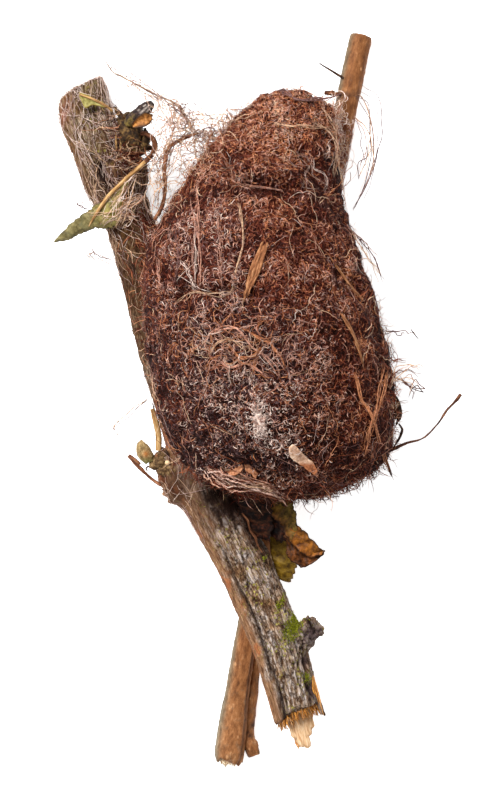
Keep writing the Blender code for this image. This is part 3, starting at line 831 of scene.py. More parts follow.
# A region's curl is how far a fibre of this many steps turns at each of them.
CURL_STEPS = 6
REGIONS = [
    # all over
    region(None, None, 1.0, (60, 180), (0.9, 2.4), FINE, 0.4, 0.42, False,
           soot=4, umber=6, maroon=6, red_brown=5, rust=3, orange=0.8, pink=1.1, mauve=0.8),
    # the hood
    region((2.0, 37.0), (11.0, 9.0), 5.0, (15, 75), (0.9, 2.2), FINE, 0.4, 0.5, False,
           soot=1.5, umber=3, maroon=4, red_brown=7, rust=9, orange=5, pink=3, tan=0.8),
    # the lilac field with its upright strands, and the flap above it
    region((-9.0, 15.0), (6.5, 9.5), 5.0, (88, 26), (1.2, 3.2), FINE, 0.35, 0.3, True,
           soot=9, umber=8, maroon=6, red_brown=3, mauve=4.4, grey=1.6, pink=1.2, pale=0.3),
    region((-1.5, 29.8), (4.0, 2.2), 3.0, (150, 90), (1.0, 2.4), FINE, 0.35, 0.45, True,
           umber=3, maroon=4, red_brown=3, mauve=4, grey=2, pink=3),
    # the lower pouch
    region((-5.5, -10.5), (9.5, 9.5), 7.0, (100, 180), (0.8, 2.0), FINE, 0.35, 0.55, True,
           soot=2, shade=8, umber=1.5, ash=10, red_brown=1, mauve=2, grey=5, pink=2, pale=2),
    # the upper right with its slanting strands, the middle right and the lower right
    region((6.4, 17.0), (6.4, 6.4), 5.0, (-48, 45), (1.0, 2.8), FINE, 0.35, 0.34, False,
           soot=5, umber=6, maroon=6, red_brown=6, rust=3.4, orange=1, mauve=1.6, pink=0.8),
    region((8.0, 3.0), (7.0, 8.0), 4.0, (120, 180), (0.8, 2.0), FINE, 0.35, 0.45, True,
           soot=5, umber=6, maroon=5, red_brown=4, mauve=3.4, grey=1.4, pink=1.6, rust=0.8),
    region((11.0, -14.0), (7.0, 7.5), 5.0, (100, 180), (0.8, 2.0), FINE, 0.35, 0.45, True,
           soot=6, umber=7, maroon=5, red_brown=3, mauve=2.6, orange=0.9, pink=1.2),
    # the upper edge of the lower pouch, darkened below its fold as painted shade, and its dark lower left
    region((-9.5, 4.2), (6.5, 3.6), 6.0, (88, 70), (0.9, 2.4), FINE, 0.3, 0.45, True,
           soot=7, shade=7, umber=5, maroon=2, ash=2.4, mauve=2, grey=0.7),
    region((-9.0, -19.0), (6.5, 4.0), 9.0, (100, 90), (0.8, 2.2), FINE, 0.25, 0.45, True,
           soot=8, shade=9, umber=4, ash=3, mauve=1, grey=0.5),
    # the web in the middle
    region((-3.8, -0.2), (7.0, 3.8), 12.0, (20, 180), (1.4, 3.4), (0.035, 0.06), 0.6, 0.5, True,
           soot=9, shade=6, umber=5, maroon=3, ash=3, mauve=2, grey=1, pale=0.3, orange=0.8),
    # the white patch, and its pale trail
    region((-0.3, -13.2), (0.95, 1.5), 160.0, (110, 180), (0.7, 1.7), (0.045, 0.075), 0.5, 0.6, True,
           pink=2, pale=7, white=9),
    region((3.4, -17.8), (2.2, 3.6), 7.0, (120, 180), (0.9, 2.2), FINE, 0.5, 0.55, True,
           soot=2, shade=5, umber=2, ash=3, mauve=3, grey=2.6, pale=2.6, pink=2.6, white=0.4),
    # the hollow above the papery strip, darkened as painted shade
    region((-3.5, -21.0), (6.5, 1.9), 9.0, (100, 90), (0.8, 2.0), FINE, 0.25, 0.4, True,
           soot=7, shade=8, umber=4, ash=3, mauve=1.6, grey=0.5),
    # the smooth dark lower left, the stringy right edge, and painted shade in two folds
    region((-14.5, -15.0), (4.2, 8.0), 9.0, (100, 30), (1.0, 2.6), (0.03, 0.05), 0.2, 0.3, False,
           soot=8, umber=7, maroon=5, red_brown=1.2, mauve=1),
    region((20.0, -12.0), (3.6, 12.0), 8.0, (100, 35), (1.4, 4.0), (0.04, 0.07), 0.45, 0.25, False,
           soot=9, umber=8, maroon=5, red_brown=2, rust=1.2, orange=0.4),
    # painted shade in the fold at the upper right, beside the twig
    region((10.0, 27.8), (3.6, 4.8), 16.0, (80, 60), (1.0, 2.6), (0.03, 0.055), 0.3, 0.3, False,
           soot=9, umber=7, maroon=4, red_brown=1.2, mauve=1),
    # painted shadow under the hood's fold
    region((-0.6, 27.1), (5.4, 1.0), 40.0, (0, 90), (0.8, 2.0), (0.03, 0.055), 0.2, 0.4, False,
           soot=9, umber=6, maroon=3, red_brown=1, mauve=0.6),
]


def region_shares(places, normals):
    """How strongly each kind of felt holds each place; the shares of a place add up to 1."""
    front = ease(normals[:, 2], -0.2, 0.2)
    shares = []
    for kind in REGIONS:
        if kind["at"] is None:
            shares.append(np.full(len(places), kind["force"]))
        else:
            shares.append(kind["force"] * front * blob(places, kind["at"], kind["reach"]))
    shares = np.stack(shares, axis=1)
    return shares / shares.sum(1, keepdims=True)


def regional(rng, kinds, tuft, flock_and_shade, lighter):
    """Each fibre's heading, length, radius, lift, curl and silk, drawn by the rules of its region."""
    heading, lengths, radii, lifts, curl = np.zeros((5, len(kinds)))
    number = np.zeros(len(kinds), int)
    for k, kind in enumerate(REGIONS):
        here = np.flatnonzero(kinds == k)
        middle, spread = kind["heading"]
        heading[here] = np.radians(middle + spread * tuft[here])
        lengths[here] = rng.uniform(*kind["length"], len(here)) * MM
        radii[here] = rng.uniform(*kind["thick"], len(here)) * MM
        lifts[here] = kind["lift"] * MM
        curl[here] = kind["turn"] * CURL_STEPS
        weights = kind["silks"] * np.exp(lighter * (SILK_LIGHT - SILK_LIGHT.mean()))
        share = (flock_and_shade[here].argsort().argsort() + 0.5) / max(len(here), 1)
        number[here] = np.searchsorted(np.cumsum(weights / weights.sum()), share)
    return heading, lengths, radii, lifts, curl, np.minimum(number, len(SILK_NAMES) - 1)


def make_felt(name, mesh, tree, count, seed, wanted, stations=5, lighter=0.0, larger=1.0):
    """Fibres of the felt, each of the kind of its region, with painted light and shade in the choice of
    silks.
    """
    rng = np.random.default_rng(seed)
    roots, normals = scatter(rng, mesh, count, wanted)
    shares = region_shares(roots, normals)
    kinds = (shares.cumsum(1) > rng.random(count)[:, None]).argmax(1)
    flock_and_shade = 0.8 * rough(roots, 0.8 * MM, 3, 6.6) + 0.6 * rough(roots, 5 * MM, 2, 2.6)
    flock_and_shade += rng.normal(0, 0.32, count)
    # Painted light and shade: tuft tops get lighter silks, and pits and the rims, where the silk turns away
    # from the front, darker ones.
    flock_and_shade += 0.6 * tuft_height(roots) - 0.8 * fall(normals[:, 2], 0.15, 0.7)
    tuft = np.clip(1.5 * rough(roots, 1.2 * MM, 2, 9.6), -1, 1) + rng.normal(0, 0.16, count)
    heading, lengths, radii, lifts, curl, number = regional(rng, kinds, tuft, flock_and_shade, lighter)
    turns = curl / (stations - 1)
    lines, ups = creep(rng, tree, roots, flat_heading(heading), lengths * larger, stations, turns)
    # Light silks stand higher and dark ones lie lower, which paints the felt's depth as light and shade.
    rise = lifts * (0.2 + 1.4 * SILK_LIGHT[number]) * rng.uniform(0.4, 1.3, count)
    height = rise[:, None] * arch(stations) ** 0.6 + rng.uniform(-0.12, 0.1, (count, stations)) * MM
    lines = lines + ups * height[..., None]
    lines[..., 2] = np.maximum(lines[..., 2], 0.1 * MM)
    tone = (number + 0.5 + rng.uniform(-0.45, 0.45, count)) / len(SILK_NAMES)
    leaning = unit(ups + rng.normal(0, 0.45, (count, 1, 3)))
    made = tubes(name, lines, tapered(radii, stations), ups=leaning, sides=2, tone=tone)
    piece(name, made, silk)


def front_share(_places, normals):
    """The front of the silk, and a little of the rest."""
    return 0.1 + ease(normals[:, 2], -0.35, 0.25)


def back_share(_places, normals):
    """The back of the silk, and a little of the rest."""
    return 0.1 + fall(normals[:, 2], -0.2, 0.3)


# Layers of the felt, from the deepest: how many fibres, the seed, where they grow, and how they differ.
FELT = {
    # painted shade: the deep layer gets darker silks
    "felt_deep": (20000, 11, front_share, dict(stations=4, lighter=-3.0)),
    "felt_middle": (27000, 12, front_share, dict(stations=4, larger=0.65)),
    # painted light: the top layer gets lighter silks
    "felt_top": (27000, 13, front_share, dict(lighter=1.4, larger=0.7)),
    "felt_back": (12000, 14, back_share, dict(stations=4, larger=1.2)),
}


BUNDLE = 4
# Strands that lie on the silk, as the picture shows them: radius, silk, and their places.
LAID = [
    (0.06, "tan", [(2.2, 39.2), (6.8, 39.1), (11.9, 39.1)]),
    # A pink thread along the lip of the hood's fold, partly a painted highlight on that lip.
    (0.07, "pink", [(-6.3, 32.4), (-5.8, 30.6), (-5.2, 29.2), (-2.9, 28.4), (0.0, 28.4), (3.1, 28.3),
                    (4.1, 27.0)]),
    (0.06, "tan", [(-4.5, 25.2), (-4.0, 24.1), (-3.3, 20.7), (-3.4, 16.4), (-4.6, 12.1), (-6.0, 8.8)]),
    (0.07, "pink", [(-11.2, 29.3), (-11.5, 23.4), (-11.0, 17.1), (-10.6, 9.9)]),
    (0.05, "pink", [(-12.6, 26.0), (-12.0, 21.0), (-12.3, 16.0), (-11.7, 11.0)]),
    (0.05, "pale", [(-11.9, 20.0), (-11.5, 15.0), (-11.9, 10.4)]),
    (0.05, "pink", [(-8.0, 24.0), (-7.4, 19.0), (-7.7, 14.0), (-7.1, 10.0)]),
    (0.045, "mauve", [(-15.4, 21.0), (-14.7, 16.0), (-15.0, 11.0)]),
    (0.08, "pale", [(-14.2, 14.9), (-13.0, 12.6), (-11.5, 9.4)]),
    (0.06, "pink", [(-18.0, 15.7), (-18.4, 12.6), (-17.5, 9.5)]),
    (0.07, "tan", [(-15.7, 7.2), (-13.3, 8.6), (-11.2, 9.2), (-7.6, 8.8), (-4.9, 8.8)]),
    (0.15, "pink", [(-10.3, 0.0), (-9.5, 1.4), (-8.5, 2.3), (-6.1, 3.4), (-4.0, 2.7), (-2.2, 0.0),
                    (0.0, -1.3), (2.3, -3.8), (3.6, -6.3)]),
    (0.12, "orange", [(0.0, 0.0), (-1.1, -1.3), (-2.9, -2.0), (-4.7, -1.3), (-6.1, 0.2)]),
    (0.12, "pink", [(-7.9, -3.1), (-5.8, -4.1), (-2.9, -3.4), (-0.7, -4.5), (1.4, -6.3)]),
    (0.12, "orange", [(-3.6, 3.0), (-1.0, 1.6), (1.2, 0.4), (3.2, -1.6), (4.0, -4.2)]),
    (0.1, "tan", [(-9.8, -1.8), (-8.2, 0.2), (-6.4, 1.0), (-4.4, 0.4), (-2.8, -1.0)]),
    (0.06, "tan", [(15.8, 20.3), (18.0, 17.6), (19.4, 14.9), (21.6, 12.6)]),
    (0.13, "orange", [(21.4, -2.9), (20.2, -9.9), (19.1, -14.9), (18.0, -19.8)]),
    (0.13, "orange", [(16.2, -4.9), (17.6, -9.9), (19.8, -14.0), (22.9, -23.2)]),
    (0.11, "orange", [(22.1, -4.5), (21.1, -9.0), (19.4, -14.4), (17.6, -18.0)]),
    (0.05, "tan", [(8.6, 40.1), (11.3, 38.7), (13.1, 35.1), (13.7, 29.7), (14.4, 24.3)]),
    (0.05, "tan", [(10.1, 42.7), (12.2, 39.4), (12.8, 35.1), (12.2, 29.7)]),
    (0.03, "grey", [(7.0, 34.8), (8.6, 32.4), (8.9, 30.2), (11.4, 28.6)]),
    (0.03, "pale", [(8.9, 34.0), (9.2, 31.9), (11.2, 30.0), (10.4, 27.2)]),
    (0.03, "grey", [(6.0, 33.2), (7.8, 31.4), (7.2, 29.2), (9.4, 27.4)]),
    (0.17, "mauve", [(3.1, 45.4), (4.7, 44.9), (6.5, 43.8), (9.4, 43.8), (11.9, 44.3), (14.5, 45.4)]),
]


def make_laid_threads(tree):
    """The strands that stand out on the felt, each a loose bundle of threads."""
    rng = np.random.default_rng(21)
    lines, radii, tones = [], [], []
    for radius, name, points in LAID:
        for _ in range(BUNDLE):
            shifted = smooth_line(points, 9) + rng.normal(0, 0.2, (9, 2))
            lines.append(smooth_line(seen(tree, shifted, lift=0.7), 18))
            radii.append(radius * MM * rng.uniform(0.35, 0.8))
            tones.append(pick(rng, 1, **{name: 1})[0])
    wide = tapered(np.array(radii), 18)
    made = tubes("silk_threads", np.stack(lines), wide, sides=4, tone=np.array(tones))
    piece("silk_threads", made, silk)


def web_share(places, normals):
    """The middle of the front."""
    return ease(normals[:, 2], 0.0, 0.3) * blob(places, (-4.0, -0.4), (7.6, 3.8))


def white_share(places, normals):
    """The white tuft and its pale trail."""
    core = blob(places, (-0.3, -13.1), (0.75, 1.5), 14)
    trail = 0.02 * blob(places, (3.0, -17.4), (1.6, 3.2), 40)
    return ease(normals[:, 2], 0.0, 0.3) * (core + trail)


def make_web(mesh, tree):
    """Looping threads in the middle of the front, the white tuft, and long thin threads all over."""
    rng = np.random.default_rng(22)
    looping, tuft, long = 200, 300, 500
    lines, ups = crept(rng, mesh, tree, web_share, looping, (2.5, 6.5), stations=14, turn=0.34)
    lines = lifted(lines, ups, 0.6 + 0.5 * arch(14) * rng.uniform(0.3, 1.4, (looping, 1)))
    tone = pick(rng, looping, tan=2.4, orange=3, pale=1.6, pink=6, rust=2, mauve=1)
    spin(rng, "silk_web", lines, tone, (0.035, 0.07))
    lines, ups = crept(rng, mesh, tree, white_share, tuft, (0.6, 1.8), stations=8, turn=0.6)
    lines = lifted(lines, ups, rng.uniform(0.5, 1.0, (tuft, 1)))
    tone = pick(rng, tuft, white=10, pale=4, pink=2)
    spin(rng, "silk_white", lines, tone, (0.045, 0.075))
    lines, ups = crept(rng, mesh, tree, front_share, long, (3, 9), stations=11, turn=0.2)
    lines = lifted(lines, ups, rng.uniform(0.3, 0.7, (long, 1)))
    tone = pick(rng, long, tan=2, orange=1.6, rust=4, pink=4, mauve=5, grey=1.4, pale=0.5)
    spin(rng, "silk_long", lines, tone, (0.03, 0.055))


def rim_share(places, normals):
    """The outline that the camera sees, most of all the upper left shoulder and the lower right."""
    rim = bell(normals[:, 2], 0, 0.35) * (places[:, 2] > 8 * MM)
    shoulder = blob(places, (-9.0, 36.0), (12.0, 11.0))
    right = blob(places, (23.0, -10.0), (5.0, 16.0))
    top = blob(places, (8.0, 44.0), (7.0, 4.0))
    return rim * (0.25 + 2.0 * shoulder + 1.2 * right + top)


def lower_share(places, normals):
    """The silk's lower edge."""
    lower = fall(places[:, 1], -24 * MM, -20 * MM) * (places[:, 2] > 6 * MM)
    return bell(normals[:, 2], 0, 0.5) * lower


def shoulder_share(places, normals):
    """The hood's upper left edge, and a little of its right one."""
    edge = fall(np.abs(normals[:, 2] - 0.1), 0.2, 0.5)
    left = blob(places, (-8.0, 35.0), (7.0, 9.0), -40) * (normals[:, 0] < 0)
    return edge * (left + 0.5 * blob(places, (11.0, 37.0), (3.0, 7.0)))


def make_frizz(mesh):
    """Fibres that stand off the silk's outline, curls on the hood's edges, and a fringe at the lower edge."""
    rng = np.random.default_rng(23)
    frizz, curls, fringe = 2400, 260, 2200
    roots, heading = standing(rng, mesh, rim_share, frizz, 0.7)
    lengths = rng.uniform(0.8, 3.2, frizz) + 3.5 * rng.random(frizz) ** 4
    lines = above_ground(drift(rng, roots, heading, lengths * MM, stations=9, bend=0.4))
    tone = pick(rng, frizz, rust=2, red_brown=3, orange=3, tan=5, pink=2, maroon=2, umber=1)
    spin(rng, "silk_frizz", lines, tone, (0.028, 0.055), sides=2)
    roots, heading = standing(rng, mesh, shoulder_share, curls, 0.7)
    lines = loops(rng, roots, heading, rng.uniform(1.5, 5.0, curls) * MM, stations=12)
    tone = pick(rng, curls, orange=3, tan=5, pink=3, rust=2, red_brown=2)
    spin(rng, "hood_curls", lines, tone, (0.03, 0.055), sides=2)
    roots, heading = standing(rng, mesh, lower_share, fringe, 0.5, (0.1, -0.5, 0.0))
    lengths = rng.uniform(0.8, 3.0, fringe)
    lines = above_ground(drift(rng, roots, heading, lengths * MM, stations=8, bend=0.32))
    tone = pick(rng, fringe, umber=4, maroon=5, red_brown=5, rust=4, pink=1, mauve=1)
    spin(rng, "silk_fringe", lines, tone, (0.035, 0.07), sides=2)


def above_ground(lines):
    """Lines that keep clear of the ground the part lies on."""
    lines[..., 2] = np.maximum(lines[..., 2], 0.3 * MM)
    return lines


# ---------------------------------------------------------------- stems


# Hollows, knots and stains of the thick branch, and shadow painted on it: centre, reach and turn as seen from
# the front, how deep they sink, and how dark, red and purple they are.
SCARS = [
    ((-28.9, 32.6), (0.8, 1.5), -15, 0.7, 1.0, 0.0, 0.2),
    ((-27.4, 33.6), (0.7, 0.9), 0, 0.5, 1.0, 0.2, 0.0),
    ((-27.5, 29.0), (1.5, 1.7), 0, 0.6, 0.75, 0.5, 0.1),
    ((-25.0, 36.6), (1.6, 2.6), 15, 0.8, 1.0, 0.2, 0.0),
    ((-35.4, 43.2), (1.0, 2.2), -10, 0.2, 0.0, 0.75, 0.2),
    ((8.0, -56.6), (0.8, 0.9), 0, 0.5, 0.7, 0.2, 0.8),
    ((9.2, -51.8), (2.6, 2.2), 20, 0.0, 0.35, 0.0, 0.9),
    ((-15.6, -25.4), (4.2, 4.2), 0, 0.0, 0.75, 0.15, 0.1),
    # these two rows: painted shadow of the cocoon and the dry leaf below the papery strip, with some real
    # stain
    ((-5.0, -28.6), (6.6, 3.4), 20, 0.0, 1.0, 0.1, 0.1),
    ((-0.8, -33.6), (1.9, 6.0), 27, 0.0, 0.9, 0.0, 0.1),
    ((8.9, -50.5), (1.2, 1.4), 10, 1.2, 1.0, 0.0, 0.6),
    ((8.4, -49.7), (0.8, 0.6), 0, 0.6, 0.8, 0.0, 0.6),
    ((9.3, -61.8), (0.9, 1.7), 10, 0.4, 0.6, 0.2, 0.8),
    # more painted shadow below the papery strip, partly a reddish stain
    ((-4.4, -28.4), (3.3, 3.0), 20, 0.0, 1.0, 0.6, 0.0),
    ((-1.9, -33.4), (1.3, 4.6), 30, 0.0, 1.0, 0.4, 0.0),
    ((-8.6, -27.4), (4.0, 2.6), 20, 0.0, 1.0, 0.0, 0.0),
    # hollows in the fork, darkened further as painted shade
    ((-29.4, 31.0), (1.4, 3.0), -10, 0.8, 0.9, 0.0, 0.4),
    ((-25.6, 32.0), (2.2, 2.8), 0, 0.3, 0.7, 0.5, 0.0),
]
# The burr near the torn end, and the knee: centre and reach.
BURR = ((9.2, -51.2, 12.8), 3.0)
KNEE = ((-15.4, -25.0, 9.4), 3.9)
# Which way the branch points at its top end; where its torn end lies, and which way it points there.
TOP_AHEAD = np.array((-0.204, 0.976, -0.08))
TORN_AT = np.array((6.0, -65.0, 12.4))
TORN_AHEAD = np.array((0.258, -0.966, 0.0))
TORN_RIGHT = np.array((0.966, 0.258, 0.0))


def smooth_flank(places, length, side, left):
    """Where the bark is smooth and brown: along the left side, and wider just below the knee."""
    below = fall(side, -50, -28) * ease(length, 52, 60)
    above = 0.6 * fall(side, -60, -20) * fall(length, 20, 60)
    patchy = left * ease(rough(places, 6 * MM, 2, 4.4) + 0.95, 0.1, 0.5)
    wider = 0.9 * left * fall(side, -26, 2) * bell(length, 79, 7)
    return np.maximum(np.maximum(below, above) * patchy, wider)


def bark_relief(places, grain, cracks, fissures, seam, bare):
    """How far the bark's plates, cracks, burr and knee stand out, in millimetres."""
    relief = 0.28 * rough(grain, (1.5, 1.5, 5.0), 4, 2.0) * bare + 0.1 * rough(grain, (0.5, 0.5, 1.0), 3, 6.0)
    relief -= (0.26 * cracks + 0.6 * fissures) * bare
    relief -= 0.5 * seam * ease(rough(places, 5 * MM, 2, 7.1), -0.4, 0.2)
    knobbly = 0.9 * rough(places, 1.7 * MM, 3, 3.7) - 0.3 * ridges(places, 1.4 * MM, 2, 5.0)
    swollen = 1.8 + 0.9 * rough(places, 2.2 * MM, 3, 6.1) + 0.5 * rough(places, 0.9 * MM, 3, 2.7)
    return relief + lump(places, *BURR) * knobbly + lump(places, *KNEE) * swollen


def scarred(places, normals):
    """How deep the scars sink at each place, and how dark, red and purple they are there; part of the dark is
    painted shadow.
    """
    front = ease(normals[:, 2], 0.0, 0.4)
    sunk, shades = np.zeros(len(places)), np.zeros((3, len(places)))
    for centre, reach, turn, depth, *shade in SCARS:
        here = blob(places, centre, reach, turn) * front
        sunk += depth * here
        shades = np.maximum(shades, np.outer(shade, here))
    return sunk, *shades


def cut_top(places, grain):
    """How far the slanting cut of the top end rises, in millimetres; its left corner is rounded."""
    across, length = grain[:, 0], grain[:, 2]
    corner = 0.22 * np.maximum(-2.0 - across, 0.0) ** 2
    slant = (0.38 * across - corner) * fall(length, 0, 9)
    return slant + 0.35 * rough(places, 1.5 * MM, 2, 8.8) * fall(length, 0, 1.5)


def make_thick_branch():
    """The thick grey branch, from its cut top to its torn lower end."""
    mesh = skin_of("thick_branch", "thick_branch_bark", voxel=0.4, smoothing=3)
    places, normals = corners_of(mesh)
    grain, side = grain_of(places, THICK_LINE)
    length, radius = grain[:, 2], np.hypot(grain[:, 0], grain[:, 1])
    left = ease(side + 165, 0, 30)
    flank = smooth_flank(places, length, side, left)
    bare = 1 - 0.75 * flank
    cracks = ridges(grain, (1.0, 1.0, 3.0), 3, 5.5) ** 5
    fissures = ridges(grain, (2.8, 2.8, 24.0), 3, 8.5) ** 7
    seam = bell(side + 30 + 8 * rough(grain, (9.0, 9.0, 9.0), 2, 3.3), 0, 4.8) * ease(length, 84, 92)
    sunk, dark, red, purple = scarred(places, normals)
    relief = bark_relief(places, grain, cracks, fissures, seam, bare) - sunk
    lift = cut_top(places, grain)
    # The rim of the torn end stands out raggedly, and the core inside it is split along the grain.
    beyond = ((places / MM - TORN_AT) * TORN_AHEAD).sum(1)
    rim = ease(radius, 2.9, 3.7) * ease(beyond, -2.6, -0.4)
    core = fall(radius, 3.0, 3.6) * ease(beyond, -0.6, 0.2)
    ragged = 0.5 + 1.7 * fall(side, -70, 20) + 0.7 * rough(places, 1.2 * MM, 3, 2.2)
    split = 0.8 * rough(grain, (0.5, 0.5, 4.0), 3, 3.0)
    places += normals * (relief * (1 - rim) * MM)[:, None] + TOP_AHEAD * (lift * MM)[:, None]
    places += TORN_AHEAD * ((ragged * rim + split * core) * MM)[:, None]
    places[:, 0] -= 0.9 * MM * fall(length, 3, 13) * fall(side, -60, 0) * left
    move_to(mesh, places)
    # The dark of the scars, part of which is painted shadow, goes into the crack mark.
    crack = np.clip((0.8 * cracks + fissures) * bare + 0.9 * seam + dark, 0, 1) * (1 - core)
    # The mark that darkens the branch's middle, beside the cocoon, is painted shade.
    mark(mesh, grain=grain, flank=flank, upper=fall(length, 40, 75), dusk=bell(length, 36, 15), crack=crack)
    mark(mesh, lichen=lichen_share(places, length, side), reddish=red, purple=purple, wood=core)
    piece("thick_branch_bark", mesh, grey_bark, ["thick_branch"])
    return mesh


def lichen_share(places, length, side):
    """Where the bark carries yellow-green crust."""
    low = 1.8 * bell(length, 100, 24) * bell(side, 12, 45)
    high = 1.8 * bell(length, 16, 12) * bell(side, 30, 40)
    rim = 1.5 * blob(places, (10.4, -51.6), (1.5, 1.8))
    return np.clip((low + high + rim) * ease(rough(places, 3.0 * MM, 3, 12.0), -0.2, 0.4), 0, 1)


# The planks of the torn end: place across, how deep, start and end along the branch, half width, how orange.
PLANKS = [
    (-1.5, 0.9, -1.0, 5.6, 0.7, 0.05),
    (-0.6, 1.1, -1.0, 7.4, 0.75, 0.0),
    (0.3, 1.1, -1.0, 7.8, 0.75, 0.0),
    (1.1, 1.0, -1.0, 5.8, 0.75, 0.05),
    (2.0, 0.8, -1.0, 4.6, 0.7, 0.1),
    (-1.0, 0.4, -1.0, 6.6, 0.8, 0.15),
    (0.2, 0.3, -1.0, 7.2, 0.8, 0.15),
    (1.4, 0.2, -1.0, 5.0, 0.8, 0.2),
    (3.9, 1.4, -5.2, -1.2, 0.3, 1.0),
    (4.2, 1.1, -5.0, 0.8, 0.24, 0.95),
    (4.5, 0.8, -4.8, 3.0, 0.2, 0.7),
    (4.3, 0.3, -4.6, 1.6, 0.22, 0.9),
    (3.5, 0.6, -4.0, 0.9, 0.42, 1.0),
]


def torn_fringe(rng, count):
    """Orange fibres all round the torn edge."""
    angle = rng.uniform(0, 2 * math.pi, count)
    around = np.sin(angle)[:, None] * TORN_RIGHT + np.cos(angle)[:, None] * UP
    begin = rng.uniform(-0.9, 0.3, count) + 1.0 * fall(np.sin(angle), -0.9, 0.0)
    roots = TORN_AT + rng.uniform(2.6, 3.9, count)[:, None] * around + TORN_AHEAD * begin[:, None]
    heading = unit(TORN_AHEAD + rng.normal(0, 0.1, (count, 3)))
    lines = drift(rng, roots * MM, heading, rng.uniform(1.2, 3.4, count) * MM, stations=6, bend=0.06)
    mesh = tubes("torn_fringe", lines, tapered(rng.uniform(0.05, 0.11, count) * MM, 6, root=1.0))
    mark(mesh, glow=np.repeat(ease(rng.random(count), -0.3, 0.6), len(mesh.vertices) // count))
    return mesh


def torn_planks(rng, stations):
    """Pale planks of the core: blunt ones, and orange ones that end in a point."""
    table = np.array(PLANKS)
    lines = []
    for across, deep, start, stop, _half, glow in PLANKS:
        inwards = 0.12 if glow < 0.5 else 0.0
        steps = (0.0, 0.4, 0.75, 1.0)
        rows = [(across * (1 - inwards * t), deep + 0.4 * t, start + (stop - start) * t) for t in steps]
        line = smooth_line([x * TORN_RIGHT + z * UP + y * TORN_AHEAD for x, z, y in rows], stations)
        lines.append((TORN_AT + line + rng.normal(0, 0.02, (stations, 3))) * MM)
    lines, t = np.stack(lines), np.linspace(0, 1, stations)
    blunt = 0.5 + 0.5 * fall(t, 0.85, 1.0)
    pointed = 0.1 + 0.9 * fall(t, 0.3, 1.0)
    half = table[:, 4:5] * MM * np.minimum(1.0, 0.7 + 2 * t) * np.where(table[:, 5:] > 0.5, pointed, blunt)
    mesh = tubes("torn_planks", lines, half, half * 0.5, np.broadcast_to(UP, lines.shape), sides=8)
    mark(mesh, glow=np.repeat(table[:, 5], len(mesh.vertices) // len(PLANKS)))
    return mesh


def make_torn_wood():
    """The bare wood at the branch's torn lower end."""
    rng = np.random.default_rng(31)
    mesh = joined("torn_wood", [torn_fringe(rng, 420), torn_planks(rng, 14)])
    places, normals = corners_of(mesh)
    grain, _side = grain_of(places, THICK_LINE)
    move_to(mesh, places + normals * (0.07 * rough(grain, (0.3, 0.3, 2.0), 2, 5.0) * MM)[:, None])
    mark(mesh, grain=grain)
    stops = [(182, 134, 92), (218, 180, 138), (236, 208, 174)]
    finish = cloud_finish("torn_wood", stops, 0.3, [("glow", (146, 82, 26), (234, 166, 80))], stretch=ALONG)
    piece("torn_wood", mesh, finish)


def moss_share(places, normals):
    """Tufts of moss on the front of the branch, and a few strands anywhere."""
    patch = blob(places, (5.6, -50.6), (1.1, 2.2), -25) + 0.6 * blob(places, (3.2, -46.4), (0.4, 1.2), -25)
    patch += 0.7 * blob(places, (8.0, -59.6), (0.5, 0.7)) + 0.5 * blob(places, (0.3, -38.2), (0.4, 0.4))
    return patch * ease(normals[:, 2], 0.0, 0.3) + 0.0002


def make_moss(mesh):
    """Short green strands, in tufts on the branch."""
    rng = np.random.default_rng(32)
    count = 1900
    roots, heading = standing(rng, mesh, moss_share, count, 0.6)
    lines = drift(rng, roots, heading, rng.uniform(0.2, 0.6, count) * MM, stations=4, bend=0.3)
    made = tubes("moss", lines, tapered(rng.uniform(0.03, 0.065, count) * MM, 4, root=1.0))
    finish = cloud_finish("moss", [(64, 66, 6), (134, 138, 24), (192, 190, 68)], 0.5)
    piece("moss", made, finish)


def branch_threads_share(places, normals):
    """The upper part of the branch, most of all its top end, and the knee."""
    upper = ease(places[:, 1], 8 * MM, 26 * MM) + 1.2 * ease(places[:, 1], 40 * MM, 46 * MM)
    return ease(normals[:, 2], -0.3, 0.3) * (upper + 0.9 * blob(places, (-14.6, -25.5), (3.4, 4)))


def make_branch_threads(mesh, tree):
    """Pale threads stretched over the branch."""
    rng = np.random.default_rng(33)
    count, stations = 460, 10
    roots, _normals = scatter(rng, mesh, count, branch_threads_share)
    heading = combed(rng, count, (-60, 120, -20, -95, 60), 22, (0.4, 0.2, 0.15, 0.15, 0.1))
    lines, ups = creep(rng, tree, roots, heading, rng.uniform(3, 11, count) * MM, stations, turn=0.1)
    lines = lifted(lines, ups, 0.12 + rng.random((count, 1)) * 0.5 * arch(stations))
    tone = pick(rng, count, tan=5, pale=4, grey=3, mauve=2)
    high = roots[:, 1] > rng.uniform(35, 40, count) * MM
    tone = np.where(high, pick(rng, count, pale=4, white=3, grey=5), tone)
    spin(rng, "branch_threads", lines, tone, (0.025, 0.05))


def seam_share(places, normals):
    """Near the line where the silk meets the branch."""
    _length, _side, radius = round_line(places, THICK_LINE)
    near = bell(radius / MM, 5.0, 1.3)
    ends = ease(places[:, 1], -24 * MM, -18 * MM) * fall(places[:, 1], 24 * MM, 30 * MM)
    return near * ends * (0.2 + ease(normals[:, 2], -0.2, 0.5))


def branch_side_share(places, normals):
    """The side of the branch that lies against the silk."""
    _length, side, _radius = round_line(places, THICK_LINE)
    ends = ease(places[:, 1], -24 * MM, -14 * MM) * fall(places[:, 1], 20 * MM, 27 * MM)
    return ends * (ease(side, -0.5, 1.1) ** 2 + 0.04) * ease(normals[:, 2], -0.3, 0.3)


